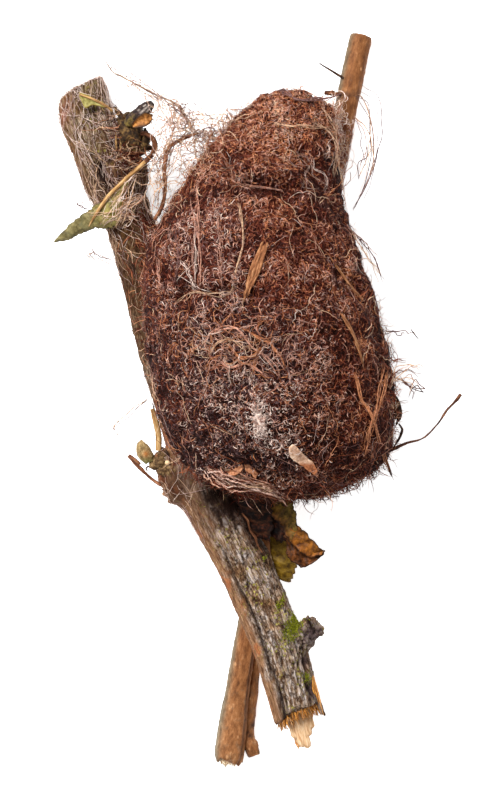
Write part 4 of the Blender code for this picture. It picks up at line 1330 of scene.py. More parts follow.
def make_seam(cocoon, branch):
    """Silk that runs from the cocoon over the branch beside it."""
    rng = np.random.default_rng(34)
    tree = tree_of(cocoon, branch)
    from_silk, _normals = scatter(rng, cocoon, 3800, seam_share)
    from_bark, _normals = scatter(rng, branch, 2000, branch_side_share)
    roots = np.concatenate((from_silk, from_bark))
    count, stations = len(roots), 6
    heading = combed(rng, count, (105, 165, -75, 200), 25)
    lines, ups = creep(rng, tree, roots, heading, rng.uniform(1.6, 5.0, count) * MM, stations, turn=0.2)
    bow = rng.random((count, 1)) * arch(stations)
    lines = lifted(lines, ups, rng.uniform(0.0, 0.25, (count, 1)) + 0.3 * bow)
    tone = pick(rng, count, umber=7, maroon=7, red_brown=5, rust=3, orange=1, pink=1, tan=0.6)
    spin(rng, "silk_seam", lines, tone, (0.035, 0.065), ups=ups, sides=2)


def make_slender_twig():
    """The slender twig: a groove along its lower part, pale wood at its foot, and a thicker top."""
    mesh = skin_of("slender_twig", "slender_twig_bark", voxel=0.34, smoothing=2)
    places, normals = corners_of(mesh)
    grain, side = grain_of(places, SLENDER_LINE)
    low = fall(places[:, 1], -60 * MM, -30 * MM)
    foot = fall(places[:, 1], -74.6 * MM, -73.6 * MM)
    groove = bell(side, 58, 9) * low
    relief = 0.1 * rough(grain, (0.9, 0.9, 5.0), 3, 1.0) + 0.07 * rough(places, 0.7 * MM, 2, 2.0)
    relief += 0.25 * bell(side, 40, 10) * low - 0.3 * groove
    relief += 0.4 * fall(places[:, 1], -73 * MM, -50 * MM) + 0.35 * ease(places[:, 1], 24 * MM, 40 * MM)
    places += normals * (relief * MM)[:, None]
    places[:, 1] -= foot * 0.9 * MM * (rough(places, 1.1 * MM, 3, 4.0) + 0.2)
    places += np.array((0.24, 1.0, 0.0)) * (1.2 * MM * ease(places[:, 1], 44 * MM, 55 * MM))[:, None]
    places[:, 2] = np.maximum(places[:, 2], 0.0)
    move_to(mesh, places)
    upper = np.maximum(ease(places[:, 1], 10 * MM, 36 * MM), 0.9 * bell(places[:, 1] / MM, -50, 9))
    crack = 0.7 * blob(places, (15.0, 45.6), (2.2, 0.5)) + 0.6 * groove
    wood = foot * fall(np.hypot(grain[:, 0], grain[:, 1]), 1.1, 1.5)
    mark(mesh, grain=grain, flank=fall(side, -74, -20), upper=upper, crack=crack, wood=wood)
    piece("slender_twig_bark", mesh, twig_bark, ["slender_twig"])
    return mesh


def stalk_mesh(name, rows, sides=10, stations=26, wobble=0.1, seed=1.0):
    """The mesh of a blunt, slightly uneven stem along x, y, z, radius rows."""
    share = (1 - np.cos(math.pi * np.linspace(0, 1, stations))) / 2
    line = smooth_line(rows, share)
    mesh = tubes(name, line[None, :, :3] * MM, line[None, :, 3] * MM, sides=sides)
    places, normals = corners_of(mesh)
    grain, _side = grain_of(places, np.array(rows)[:, :3])
    size = np.array(rows)[:, 3].mean()
    bumps = rough(grain, (size, size, 4 * size), 3, seed) + 0.6 * rough(grain, (0.5 * size,) * 3, 2, seed + 2)
    move_to(mesh, places + normals * (wobble * size * bumps * MM)[:, None])
    mark(mesh, grain=grain)
    return mesh


def stalk(name, rows, slot, finish, replaces=(), **shape):
    """One small stem as a piece."""
    piece(name, stalk_mesh(name, rows, **shape), finish, replaces)


def stalks(name, rows_list, slot, finish, replaces=(), **shape):
    """Several small stems as one piece."""
    parts = [stalk_mesh(f"{name}_{k}", rows, seed=3.0 + k, **shape) for k, rows in enumerate(rows_list)]
    piece(name, joined(name, parts), finish, replaces)


SIDE_TWIG = [
    (0.6, -47.5, 1.7, 0.8),
    (-0.9, -54.9, 1.6, 1.05),
    (-1.9, -63.9, 1.5, 1.15),
    (-2.5, -70.8, 1.4, 1.15),
    (-2.0, -73.0, 1.5, 1.4),
    (-1.3, -74.8, 1.5, 1.1),
]


def make_side_twig():
    """The thin side twig beside the slender twig's foot."""
    mesh = stalk_mesh("side_twig_bark", SIDE_TWIG, sides=14, stations=60, wobble=0.16, seed=6.0)
    places, _normals = corners_of(mesh)
    places[:, 2] = np.maximum(places[:, 2], 0.05 * MM)
    move_to(mesh, places)
    flank = 0.5 * ease(rough(places, 4 * MM, 2, 8.0), 0.0, 0.4)
    crack = ease(rough(places, 1.5 * MM, 3, 9.0), 0.35, 0.6)
    mark(mesh, flank=flank, crack=crack, wood=np.zeros(len(places)), upper=np.full(len(places), 0.5))
    piece("side_twig_bark", mesh, twig_bark, ["side_twig"])


def make_foot_splinters():
    """Pale wood at the slender twig's torn foot."""
    rng = np.random.default_rng(35)
    count = 26
    room = ((-7.4, -4.6), (-75.4, -74.4), (1.2, 3.6))
    roots = np.stack([rng.uniform(low, high, count) for low, high in room], 1)
    heading = np.tile((0.05, -1.0, 0.0), (count, 1))
    lines = drift(rng, roots * MM, heading, rng.uniform(0.8, 2.0, count) * MM, stations=6, bend=0.08)
    mesh = tubes("foot_splinters", lines, tapered(rng.uniform(0.15, 0.34, count) * MM, 6, root=1.0), sides=6)
    finish = cloud_finish("foot_wood", [(196, 150, 108), (236, 212, 176), (250, 240, 220)], 0.5)
    piece("foot_splinters", mesh, finish)


# ---------------------------------------------------------------- leaves and paper


def ruled(upper, lower, count, across, torn=0.0):
    """A grid between two edges in millimetres; torn is how far their raggedness reaches in, as a share."""
    top, bottom = smooth_line(upper, count) * MM, smooth_line(lower, count) * MM
    share = np.linspace(0, 1, across)[None, :]
    bite_top, bite_bottom = (np.abs(rough(edge, 1.1 * MM, 3, 1.0))[:, None] * torn for edge in (top, bottom))
    share = (bite_top + share * (1 - bite_top - bite_bottom))[..., None]
    return top[:, None] * (1 - share) + bottom[:, None] * share


def crumple(grid, grain, depth, seed, bulge):
    """The grid with creases, and bulged across its middle."""
    n, m = grid.shape[:2]
    out = unit(np.cross(np.gradient(grid, axis=0), np.gradient(grid, axis=1)))
    height = depth * (rough(grid, grain * MM, 3, seed) + 0.5 * ridges(grid, grain * MM, 2, seed + 4))
    height = height.reshape(n, m) + bulge * arch(m)
    return grid + out * (height * MM)[..., None]


def leaf_sheet(name, grid, thickness, veins, glow=0.0, rim=0.06, olive=0.0):
    """The mesh of a leaf over a grid, with side veins and a darker rim stored for its finish."""
    n, m = grid.shape[:2]
    u, v = np.meshgrid(np.linspace(0, 1, n), np.linspace(0, 1, m), indexing="ij")
    mesh = sheet_of(name, grid, thickness)
    near = np.abs((u * veins + 0.9 * np.abs(v - 0.5)) % 1 - 0.5)
    vein = 0.6 * bell(near, 0, 0.09) * (veins > 1)
    edge = fall(np.minimum(v, 1 - v), 0.0, rim)
    glow, olive = np.broadcast_to(glow, (n, m)), np.broadcast_to(olive, (n, m))
    mark(mesh, vein=both(vein), edge=both(edge), glow=both(glow), olive=both(olive))
    return mesh


def leaf_finish(name, stops, vein, edge, glow):
    """A leaf's finish: its blotches, veins and rim, and the pair of colours where it glows."""
    olive = ((84, 72, 24), (156, 140, 62))
    marks = [("glow", *glow), ("olive", *olive), ("vein", vein, vein), ("edge", edge, edge)]
    return cloud_finish(name, stops, 1.1, marks, roughness=0.5)


LEFT_LEAF_UPPER = [
    (-23.4, 30.9, 12.6),
    (-24.7, 29.6, 12.7),
    (-27.8, 26.5, 12.6),
    (-30.2, 25.3, 12.0),
    (-32.2, 23.8, 11.4),
    (-35.3, 21.4, 9.8),
    (-37.6, 18.8, 9.0),
]
LEFT_LEAF_LOWER = [
    (-23.4, 30.3, 12.4),
    (-24.7, 28.4, 12.2),
    (-25.0, 24.1, 11.7),
    (-26.4, 20.9, 11.6),
    (-30.4, 20.8, 11.0),
    (-34.6, 19.0, 9.4),
    (-37.6, 18.6, 8.9),
]
LEFT_LEAF_MIDRIB = [
    (-21.0, 32.9, 12.9, 0.42),
    (-22.8, 31.3, 13.0, 0.4),
    (-24.7, 29.6, 13.1, 0.38),
    (-27.8, 26.5, 13.0, 0.36),
    (-29.8, 23.6, 12.3, 0.3),
    (-31.2, 21.4, 11.5, 0.2),
]
# Where threads tie the leaf to the branch: on the branch, and on the leaf.
TIED_BRANCH = [(-22.6, 31.0, 13.2), (-21.4, 27.0, 12.8), (-22.8, 23.0, 12.6), (-24.4, 28.6, 13.4)]
TIED_LEAF = [
    (-31.6, 23.4, 12.2),
    (-29.0, 21.4, 12.4),
    (-26.4, 21.0, 12.4),
    (-27.6, 25.6, 13.4),
    (-25.4, 23.0, 12.8),
]


def make_left_leaf():
    """The olive leaf that points left from the fork, its bent tan midrib, and the threads that tie it."""
    count = 60
    grid = ruled(LEFT_LEAF_UPPER, LEFT_LEAF_LOWER, count, across=18, torn=0.2)
    grid = crumple(grid, grain=2.2, depth=0.35, seed=3.0, bulge=0.4)
    along = np.linspace(0, 1, count)[:, None]
    mesh = leaf_sheet("left_leaf_blade", grid, thickness=0.2, veins=9, glow=1 - ease(along, 0.45, 0.7))
    olive = [(68, 60, 36), (102, 92, 56), (138, 126, 84)]
    yellow = ((106, 94, 44), (164, 150, 88))
    finish = leaf_finish("olive_leaf", olive, (100, 98, 68), (58, 48, 30), yellow)
    piece("left_leaf_blade", mesh, finish, ["left_leaf"])
    stalk("left_leaf_midrib", LEFT_LEAF_MIDRIB, "straw", tan_shoot, sides=8, stations=34)
    rng = np.random.default_rng(43)
    threads = 70
    lines = between(rng, np.array(TIED_BRANCH), np.array(TIED_LEAF), threads, 0.45)
    tone = pick(rng, threads, tan=5, pale=4, orange=1, white=1)
    spin(rng, "left_leaf_threads", lines, tone, (0.03, 0.055), sides=2)


def make_green_sliver():
    """The small green sliver of leaf at the top of the thick branch, and its stalk."""
    upper = [(-33.0, 45.6, 10.6), (-31.9, 45.2, 10.9), (-30.2, 44.4, 10.9), (-28.2, 43.1, 10.7)]
    lower = [(-33.0, 45.0, 10.4), (-31.9, 42.8, 10.4), (-30.5, 43.3, 10.7), (-28.2, 42.8, 10.6)]
    grid = crumple(ruled(upper, lower, count=16, across=9), grain=1.4, depth=0.15, seed=5.0, bulge=0.2)
    mesh = leaf_sheet("green_sliver_leaf", grid, thickness=0.2, veins=4)
    green = [(92, 84, 40), (134, 124, 66), (172, 160, 104)]
    yellow = ((150, 140, 60), (190, 180, 90))
    finish = leaf_finish("sliver_leaf", green, (190, 184, 110), (150, 128, 60), yellow)
    piece("green_sliver_leaf", mesh, finish, ["green_sliver"])
    rows = [
        (-32.9, 45.2, 10.7, 0.2),
        (-30.2, 44.2, 10.9, 0.22),
        (-28.1, 43.1, 10.6, 0.24),
        (-27.0, 42.2, 10.2, 0.2),
    ]
    stalk("green_sliver_stalk", rows, "straw", tan_shoot, sides=6, stations=18)


# The dry leaf's lobes: upper edge, lower edge, how much they glow, and how olive they are.
DRY_LOBES = [
    (
        [(-7.6, -25.6, 14.4), (-5.4, -27.8, 14.4), (-3.8, -30.8, 13.8), (-2.2, -34.0, 13.2)],
        [(1.6, -26.0, 15.4), (2.2, -29.0, 15.4), (2.2, -32.0, 15.2), (1.6, -35.4, 14.6)],
        0.0,
        0.0,
    ),
    (
        [(-3.4, -27.0, 12.6), (0.0, -27.3, 14.4), (3.4, -28.0, 16.0), (5.6, -28.6, 15.6)],
        [(-1.2, -33.2, 12.4), (1.0, -34.6, 13.6), (3.4, -35.8, 14.8), (5.4, -36.4, 15.4)],
        0.0,
        0.0,
    ),
    (
        [(3.2, -27.4, 16.6), (5.6, -28.2, 16.9), (6.2, -31.0, 17.4), (6.4, -32.6, 17.4)],
        [(0.4, -29.6, 15.2), (2.4, -31.6, 16.0), (4.0, -34.0, 16.6), (5.0, -35.6, 16.8)],
        0.25,
        0.55,
    ),
    (
        [(5.6, -31.8, 17.0), (6.6, -32.3, 17.6), (8.3, -34.0, 17.9), (10.4, -36.1, 17.6),
         (11.3, -36.9, 17.1)],
        [(3.6, -34.4, 16.2), (5.0, -35.6, 16.6), (6.6, -37.0, 16.9), (8.6, -38.2, 16.9), (10.6, -37.6, 16.8)],
        0.62,
        0.1,
    ),
    (
        [(4.2, -34.4, 15.9), (5.8, -34.9, 16.1), (7.4, -36.2, 16.2), (9.4, -37.0, 16.3), (11.3, -36.7, 16.6)],
        [(4.2, -37.6, 15.6), (4.9, -38.8, 15.8), (6.4, -39.6, 16.0), (7.6, -40.0, 16.1), (11.1, -37.7, 16.3)],
        0.18,
        0.0,
    ),
]


DRY_STALK = [
    (-3.6, -30.2, 15.0, 0.12),
    (-2.6, -31.4, 15.2, 0.2),
    (-2.2, -33.0, 14.8, 0.16),
    (-1.2, -34.6, 14.4, 0.24),
    (-0.7, -36.2, 13.6, 0.16),
    (0.6, -38.0, 12.6, 0.2),
]


def make_dry_leaf():
    """The crumpled brown leaf under the cocoon, all its lobes and its stalk."""
    parts, across = [], 18
    for k, (upper, lower, glow, olive) in enumerate(DRY_LOBES):
        grid = ruled(upper, lower, count=38, across=across, torn=0.16)
        grid = crumple(grid, grain=1.7, depth=0.5, seed=1.0 + k, bulge=0.35)
        shade = dict(glow=glow, rim=0.09, olive=olive * (1 - np.linspace(0, 1, across) ** 2))
        parts.append(leaf_sheet(f"lobe_{k}", grid, thickness=0.2, veins=5, **shade))
    # Near-black browns: the dry leaf's own dark colour, darkened further as painted shade under the cocoon.
    brown = [(4, 1, 1), (28, 8, 4), (92, 46, 26)]
    finish = leaf_finish("brown_leaf", brown, (88, 54, 34), (30, 16, 11), ((88, 42, 14), (198, 118, 36)))
    piece("dry_leaf_blade", joined("dry_leaf_blade", parts), finish, ["dry_leaf"])
    stalk("dry_leaf_stalk", DRY_STALK, "straw", brown_shoot, sides=8, stations=30, wobble=0.5)


def make_green_leaf():
    """The brownish green leaf tip below, with its toothed right edge."""
    upper = [(0.4, -30.6, 10.0), (1.2, -34.0, 9.8), (1.6, -38.0, 9.4), (2.0, -40.4, 9.1), (2.4, -41.9, 8.9)]
    lower = [(3.6, -31.0, 10.2), (5.2, -35.0, 10.0), (6.2, -38.6, 9.6), (5.7, -41.0, 9.2), (4.9, -42.9, 8.7)]
    count, across, teeth = 44, 20, 9
    grid = ruled(upper, lower, count=count, across=across)
    saw = 0.45 * (np.linspace(0, teeth, count) % 1) * ease(np.linspace(0, 1, count), 0.1, 0.5)
    grid[:, :, 0] += saw[:, None] * np.linspace(0, 1, across) ** 5 * MM
    grid = crumple(grid, grain=2.2, depth=0.3, seed=7.0, bulge=0.5)
    mesh = leaf_sheet("green_leaf_blade", grid, thickness=0.2, veins=6)
    green = [(60, 40, 10), (108, 80, 17), (148, 116, 38)]
    finish = leaf_finish("green_leaf", green, (146, 118, 52), (84, 52, 20), ((116, 84, 24), (158, 124, 42)))
    piece("green_leaf_blade", mesh, finish, ["green_leaf"])


# The papery strip's upper and lower edges.
STRIP_UPPER = [
    (-10.2, -21.4, 24.6),
    (-8.8, -21.4, 25.6),
    (-7.1, -21.8, 26.6),
    (-4.6, -22.9, 27.0),
    (-0.4, -24.5, 26.6),
    (2.4, -25.6, 25.6),
    (4.9, -27.4, 23.6),
]
STRIP_LOWER = [
    (-10.0, -22.0, 24.2),
    (-8.6, -23.3, 24.8),
    (-6.2, -24.7, 25.6),
    (-3.7, -25.3, 26.0),
    (-0.4, -25.6, 25.8),
    (2.4, -26.5, 24.4),
    (4.9, -27.9, 23.0),
]
STRIP_STATIONS = 20
# Two torn flaps that stand up from the strip: the upper and the lower edge of each.
FLAPS = [
    ([(-6.2, -22.6, 28.0), (-4.9, -21.8, 28.6), (-3.6, -21.0, 29.0)],
     [(-5.6, -23.4, 27.8), (-4.2, -23.1, 28.3), (-3.3, -22.2, 28.8)]),
    ([(-3.2, -21.0, 29.2), (-2.0, -21.1, 29.2), (-0.7, -22.8, 28.7)],
     [(-3.0, -22.4, 28.8), (-2.1, -23.2, 28.6), (-1.2, -23.9, 28.3)]),
]
# Torn layers of the strip: where along it and across it each begins and stops, as shares, and its height.
LAYERS = [
    (0.0, 0.42, -0.05, 0.8, 0.0),
    (0.05, 0.34, 0.45, 1.2, 0.4),
    (0.2, 0.62, -0.05, 0.5, 0.3),
    (0.3, 0.78, 0.5, 1.1, 0.15),
    (0.5, 0.86, 0.0, 0.55, 0.35),
    (0.62, 1.0, 0.25, 1.0, 0.1),
]


def strip_flaps():
    """The two torn flaps."""
    parts = []
    for k, (upper, lower) in enumerate(FLAPS):
        grid = ruled(upper, lower, count=12, across=8, torn=0.4)
        grid = crumple(grid, grain=0.8, depth=0.3, seed=8.0 + k, bulge=0.2)
        parts.append(leaf_sheet(f"flap_{k}", grid, thickness=0.12, veins=0, glow=1.0))
    return parts


def strip_layers():
    """Torn sheets that overlap along the strip, every third one plain and the others rustier."""
    parts = []
    for k, (begin, stop, low, high, lift) in enumerate(LAYERS):
        reach = np.linspace(begin, stop, 9)
        edges = []
        for share in (low, high):
            ragged = share + 0.12 * rough(reach[:, None] * 9, 1.0, 2, k + share)[:, None]
            edges.append(across_strip(reach, ragged, lift))
        grid = ruled(*edges, count=30, across=12, torn=0.35)
        grid = crumple(grid, grain=0.7, depth=0.45, seed=20.0 + k, bulge=0.3)
        parts.append(leaf_sheet(f"layer_{k}", grid, thickness=0.1, veins=0, glow=0.25 * (k % 3), rim=0.1))
    return parts


def narrow_strips(rng, count):
    """Narrow flat strips that twist a little along their length."""
    lines = paper_strips(rng, count, 0.4)
    half = tapered(rng.uniform(0.05, 0.17, count) * MM, STRIP_STATIONS, root=0.7)
    twist = rng.normal(0, 0.45, (count, STRIP_STATIONS, 3)).cumsum(axis=1) * 0.25
    leaning = unit(np.array((0.0, -0.35, 0.9)) + twist)
    mesh = tubes("strips", lines, half, half * 0.25, leaning, sides=6)
    each = len(mesh.vertices) // count
    none = np.zeros(len(mesh.vertices))
    edge = np.repeat(ease(rng.random(count), 0.6, 1.0), each)
    glow = np.repeat(0.6 * ease(rng.random(count), 0.7, 1.0), each)
    mark(mesh, vein=none, olive=none, edge=edge, glow=glow)
    return mesh


def make_papery_strip():
    """The torn papery strip on the cocoon's lower rim: two flaps, loose layers, narrow strips and ribbons."""
    rng = np.random.default_rng(41)
    parts = [*strip_flaps(), *strip_layers(), narrow_strips(rng, 26)]
    piece("papery_strip_layers", joined("papery_strip_layers", parts), paper, ["papery_strip"])
    count = 60
    lines = paper_strips(rng, count, 0.25)
    tone = pick(rng, count, pink=4, tan=3, pale=1, orange=1, maroon=3, umber=3)
    half = tapered(rng.uniform(0.04, 0.11, count) * MM, STRIP_STATIONS)
    piece("papery_ribbons", tubes("papery_ribbons", lines, half, sides=4, tone=tone), silk)


def across_strip(reach, share, lift):
    """Places along the papery strip, at a share of the way from its upper edge to its lower one."""
    return smooth_line(STRIP_UPPER, reach) * (1 - share) + smooth_line(STRIP_LOWER, reach) * share + UP * lift


def paper_strips(rng, count, stray):
    """Centre lines of strips that run along the papery strip, some of them past its edges."""
    lines = []
    for _ in range(count):
        share = rng.uniform(-0.1, 1.1)
        begin, stop = np.sort(rng.uniform(0, 1, 2)) * (0.7, 0.8) + (0.0, 0.2)
        reach = np.linspace(begin, max(stop, begin + 0.25), STRIP_STATIONS).clip(0, 1)
        slant = share + rng.normal(0, 0.3) * np.linspace(-1, 1, STRIP_STATIONS)[:, None]
        line = across_strip(reach, slant, 0.0)
        wander = np.cumsum(rng.normal(0, 0.17, (STRIP_STATIONS, 3)), axis=0)
        lines.append((line + rng.normal(0, stray, (1, 3)) + wander + UP * rng.uniform(0.0, 0.4)) * MM)
    return np.stack(lines)


def make_scrap(tree):
    """The pink-tan scrap at the lower right, rusty along its lower part and with a small brown stain."""
    upper = seen(tree, [(5.5, -17.5), (6.6, -18.7), (7.9, -19.9), (8.8, -20.8), (9.8, -22.4)], lift=0.8)
    lower = seen(tree, [(4.6, -18.1), (5.0, -19.5), (6.1, -20.7), (7.3, -21.8), (9.5, -23.1)], lift=0.7)
    grid = ruled(upper / MM, lower / MM, count=30, across=12)
    grid = crumple(grid, grain=1.3, depth=0.25, seed=2.0, bulge=0.25)
    rusty = fall(grid[..., 1], -21.3 * MM, -20.6 * MM)
    mesh = leaf_sheet("papery_scrap_sheet", grid, thickness=0.15, veins=0, glow=rusty, rim=0.1)
    stain = both(0.7 * blob(grid, (6.5, -19.6), (0.5, 0.5)))
    mesh.attributes["edge"].data.foreach_set("value", stain.astype(np.float32))
    piece("papery_scrap_sheet", mesh, scrap_paper, ["papery_scrap"])


# Straws, as the picture shows them: x, y and half width along each one, and how many strips it is split into.
STRAWS = {
    "straw_front": ([(0.5, 17.7, 0.7), (0.2, 17.0, 0.95), (-0.4, 15.8, 1.0), (-1.5, 13.0, 1.15),
                     (-1.9, 11.6, 1.0), (-2.7, 8.8, 0.65), (-3.7, 7.1, 0.4)], 9),
    "straw_upper": ([(11.0, 16.6, 0.1), (14.0, 12.3, 0.25), (16.3, 9.0, 0.36), (18.5, 6.5, 0.15)], 3),
    "straw_lower": ([(13.3, 6.5, 0.15), (14.7, 3.5, 0.5), (16.3, 0.9, 0.5), (17.1, -2.0, 0.3),
                     (17.6, -5.5, 0.15)], 4),
}


def straw_path(tree, rows, stations):
    """A smooth path over the silk, with the silk's normals and the direction across the path."""
    path = smooth_line(rows, stations)
    laid = seen(tree, path, lift=0.95)
    t = np.linspace(0, 1, stations)
    spots = np.stack([np.polyval(np.polyfit(t, laid[:, k], 2), t) for k in range(3)], 1)
    _place, ups = nearest(tree, spots)
    return spots, ups, np.cross(unit(np.gradient(spots, axis=0)), ups), path[:, 2]


def make_straws(tree):
    """Each straw is a bundle of flat strips side by side, split at the ends."""
    rng = np.random.default_rng(42)
    stations, cut = 20, 16
    for name, (rows, strips) in STRAWS.items():
        spots, ups, side, halves = straw_path(tree, rows, stations)
        lines, wide = [], []
        for k in range(strips):
            share = (2 * (k + 0.5) / strips - 1) * 0.8
            take = np.linspace(rng.uniform(0.0, 0.12), 1 - rng.uniform(0.0, 0.26), cut) * (stations - 1)
            at = np.stack([np.interp(take, np.arange(stations), spots[:, j]) for j in range(3)], 1)
            off = np.stack([np.interp(take, np.arange(stations), side[:, j]) for j in range(3)], 1)
            half = np.interp(take, np.arange(stations), halves) * MM
            lines.append(at + off * (share * half)[:, None] + UP * rng.uniform(-0.05, 0.12) * MM)
            wide.append(half / strips * rng.uniform(0.9, 1.6) + 0.03 * MM)
        wide = np.stack(wide)
        wide[:, [0, -1]] *= 0.5
        flat = np.tile(ups[None, :cut], (strips, 1, 1))
        mesh = tubes(name + "_strips", np.stack(lines), wide, wide * 0.45, flat, sides=6)
        mark(mesh, grain=grain_of(corners_of(mesh)[0], spots / MM)[0])
        piece(name + "_strips", mesh, straw_finish, [name])


# ---------------------------------------------------------------- the fork, the knee and the right side


SPUR = [
    [(-21.8, 34.8, 10.0, 2.2), (-23.0, 37.0, 10.8, 2.2), (-24.0, 39.2, 11.6, 1.9), (-25.0, 41.2, 11.9, 1.3)],
    [(-26.6, 43.0, 10.6, 0.12), (-25.4, 41.2, 11.6, 0.55), (-23.8, 39.2, 12.4, 0.75),
     (-22.6, 37.6, 12.2, 0.5)],
    [(-24.0, 41.6, 12.0, 0.2), (-23.2, 39.6, 13.0, 0.6), (-22.4, 36.6, 12.6, 0.7), (-22.0, 34.6, 11.6, 0.4)],
    [(-21.0, 39.0, 12.6, 0.3), (-20.9, 37.0, 12.6, 0.7), (-21.4, 34.6, 11.8, 0.6)],
]
FORK_SPLINTERS = [
    [(-26.3, 38.3, 11.9, 0.1), (-26.25, 36.6, 12.0, 0.24), (-26.2, 35.0, 11.4, 0.12)],
    [(-25.5, 37.6, 11.9, 0.1), (-25.45, 36.2, 12.0, 0.24), (-25.4, 34.8, 11.4, 0.12)],
    [(-24.9, 38.6, 11.9, 0.1), (-24.85, 37.7, 12.0, 0.2), (-24.8, 36.8, 11.4, 0.12)],
]
DEAD_BUD = [
    (-24.4, 39.6, 13.8, 0.6),
    (-23.3, 40.4, 14.2, 1.25),
    (-21.9, 41.3, 14.5, 1.4),
    (-20.6, 42.5, 14.8, 1.15),
    (-19.6, 43.4, 14.9, 0.45),
]
# The middles of the fork's nest of threads: the main one in the fork, and a smaller one on the spur.
NESTS = [(-23.2, 33.6, 12.6), (-25.4, 39.0, 12.2)]
PETIOLE = [
    (-21.6, 38.0, 13.4, 0.4),
    (-20.7, 37.8, 14.0, 0.42),
    (-19.6, 37.0, 14.2, 0.45),
    (-19.2, 35.6, 14.0, 0.5),
    (-19.8, 34.1, 13.4, 0.42),
    (-21.0, 32.9, 12.9, 0.4),
]


def make_dead_bud():
    """The withered bud: nearly black, pale stripes at its middle, olive at its root."""
    mesh = stalk_mesh("dead_bud_scales", DEAD_BUD, sides=24, stations=44, wobble=0.16, seed=9.0)
    places, _normals = corners_of(mesh)
    grain, side = grain_of(places, np.array(DEAD_BUD)[:, :3])
    length = grain[:, 2]
    stripes = ease(np.cos(np.radians(side) * 13 + 0.9 * rough(places, 1.0 * MM, 2, 2.0)), 0.6, 0.95)
    pale = stripes * ease(length, 3.2, 3.8) * fall(length, 5.4, 6.2)
    mark(mesh, pale=pale, olive=fall(length, 1.6, 2.9) * ease(rough(places, 1.2 * MM, 2, 5.0), -0.2, 0.3))
    marks = [("pale", (112, 98, 88), (190, 178, 168)), ("olive", (72, 58, 26), (128, 106, 52))]
    finish = cloud_finish("dead_bud", [(22, 17, 17), (44, 32, 30), (78, 58, 50)], 0.5, marks)
    piece("dead_bud_scales", mesh, finish, ["dead_bud"])


def make_bud_scale():
    """The orange-brown scale that lies on the bud."""
    upper = [(-23.4, 39.4, 15.9), (-22.4, 40.6, 16.6), (-20.9, 41.5, 16.9), (-19.5, 41.0, 16.5)]
    lower = [(-23.2, 38.8, 15.7), (-22.2, 38.8, 16.3), (-20.6, 39.1, 16.6), (-19.4, 40.3, 16.1)]
    grid = crumple(ruled(upper, lower, count=22, across=14), grain=1.2, depth=0.22, seed=4.0, bulge=0.5)
    mesh = leaf_sheet("bud_scale_sheet", grid, thickness=0.25, veins=4, glow=0.6, rim=0.2)
    brown = [(60, 36, 20), (120, 76, 38), (176, 122, 68)]
    finish = leaf_finish("bud_scale", brown, (96, 60, 32), (40, 26, 20), ((120, 72, 30), (212, 144, 72)))
    piece("bud_scale_sheet", mesh, finish, ["bud_scale"])


def make_fork():
    """The broken spur, its splinters, the bud, the hooked stalk and the nest of threads."""
    stalks("side_spur_wood", SPUR, "dark_bark", spur_wood, ["side_spur"], sides=12, stations=32, wobble=0.45)
    stalks("fork_splinters", FORK_SPLINTERS, "straw", tan_shoot, sides=6, stations=12, wobble=0.2)
    make_dead_bud()
    make_bud_scale()
    hook = dict(stations=34, wobble=0.16)
    stalk("hooked_petiole_stalk", PETIOLE, "brown_bark", red_shoot, ["hooked_petiole"], **hook)
    rng = np.random.default_rng(51)
    count = 180
    middle = np.array(NESTS)[(rng.random(count) < 0.3).astype(int)]
    centre = middle + rng.normal(0, 1, (count, 3)) * np.array((2.0, 1.5, 0.5))
    reach = rng.uniform(1.2, 3.6, count)[:, None] * flat_heading(np.radians(rng.normal(0, 40, count)))
    lines = spans(rng, (centre - reach) * MM, (centre + reach) * MM, 13, 0.35 * MM)
    tone = pick(rng, count, soot=2, umber=6, maroon=3, orange=1, tan=4, pale=0.6)
    spin(rng, "fork_nest", lines, tone, (0.03, 0.075))


TENDRIL = [
    (-19.2, 22.4, 15.6, 0.34),
    (-17.9, 24.8, 16.0, 0.36),
    (-17.3, 28.0, 16.3, 0.34),
    (-17.5, 31.0, 16.6, 0.36),
    (-17.2, 33.6, 16.8, 0.4),
    (-16.6, 35.2, 16.9, 0.36),
    (-15.0, 36.4, 17.0, 0.34),
    (-13.2, 37.2, 16.8, 0.28),
    (-11.4, 37.8, 16.2, 0.16),
]
STRAND = [
    (-12.4, 38.4, 16.8, 0.2),
    (-13.5, 40.4, 16.7, 0.34),
    (-14.6, 42.3, 16.4, 0.28),
    (-16.0, 43.4, 16.0, 0.2),
    (-20.4, 45.5, 15.2, 0.16),
    (-24.6, 47.8, 14.5, 0.14),
    (-27.0, 49.2, 14.2, 0.1),
    (-28.2, 51.4, 14.0, 0.06),
]


THREAD_STATIONS = 18


def between(rng, first, second, count, swing):
    """Wavy lines from random places of one row to random places of another, in millimetres."""
    starts = first[rng.integers(0, len(first), count)] + rng.normal(0, 0.3, (count, 3))
    ends = second[rng.integers(0, len(second), count)] + rng.normal(0, 0.4, (count, 3))
    return spans(rng, starts * MM, ends * MM, THREAD_STATIONS, swing * MM)


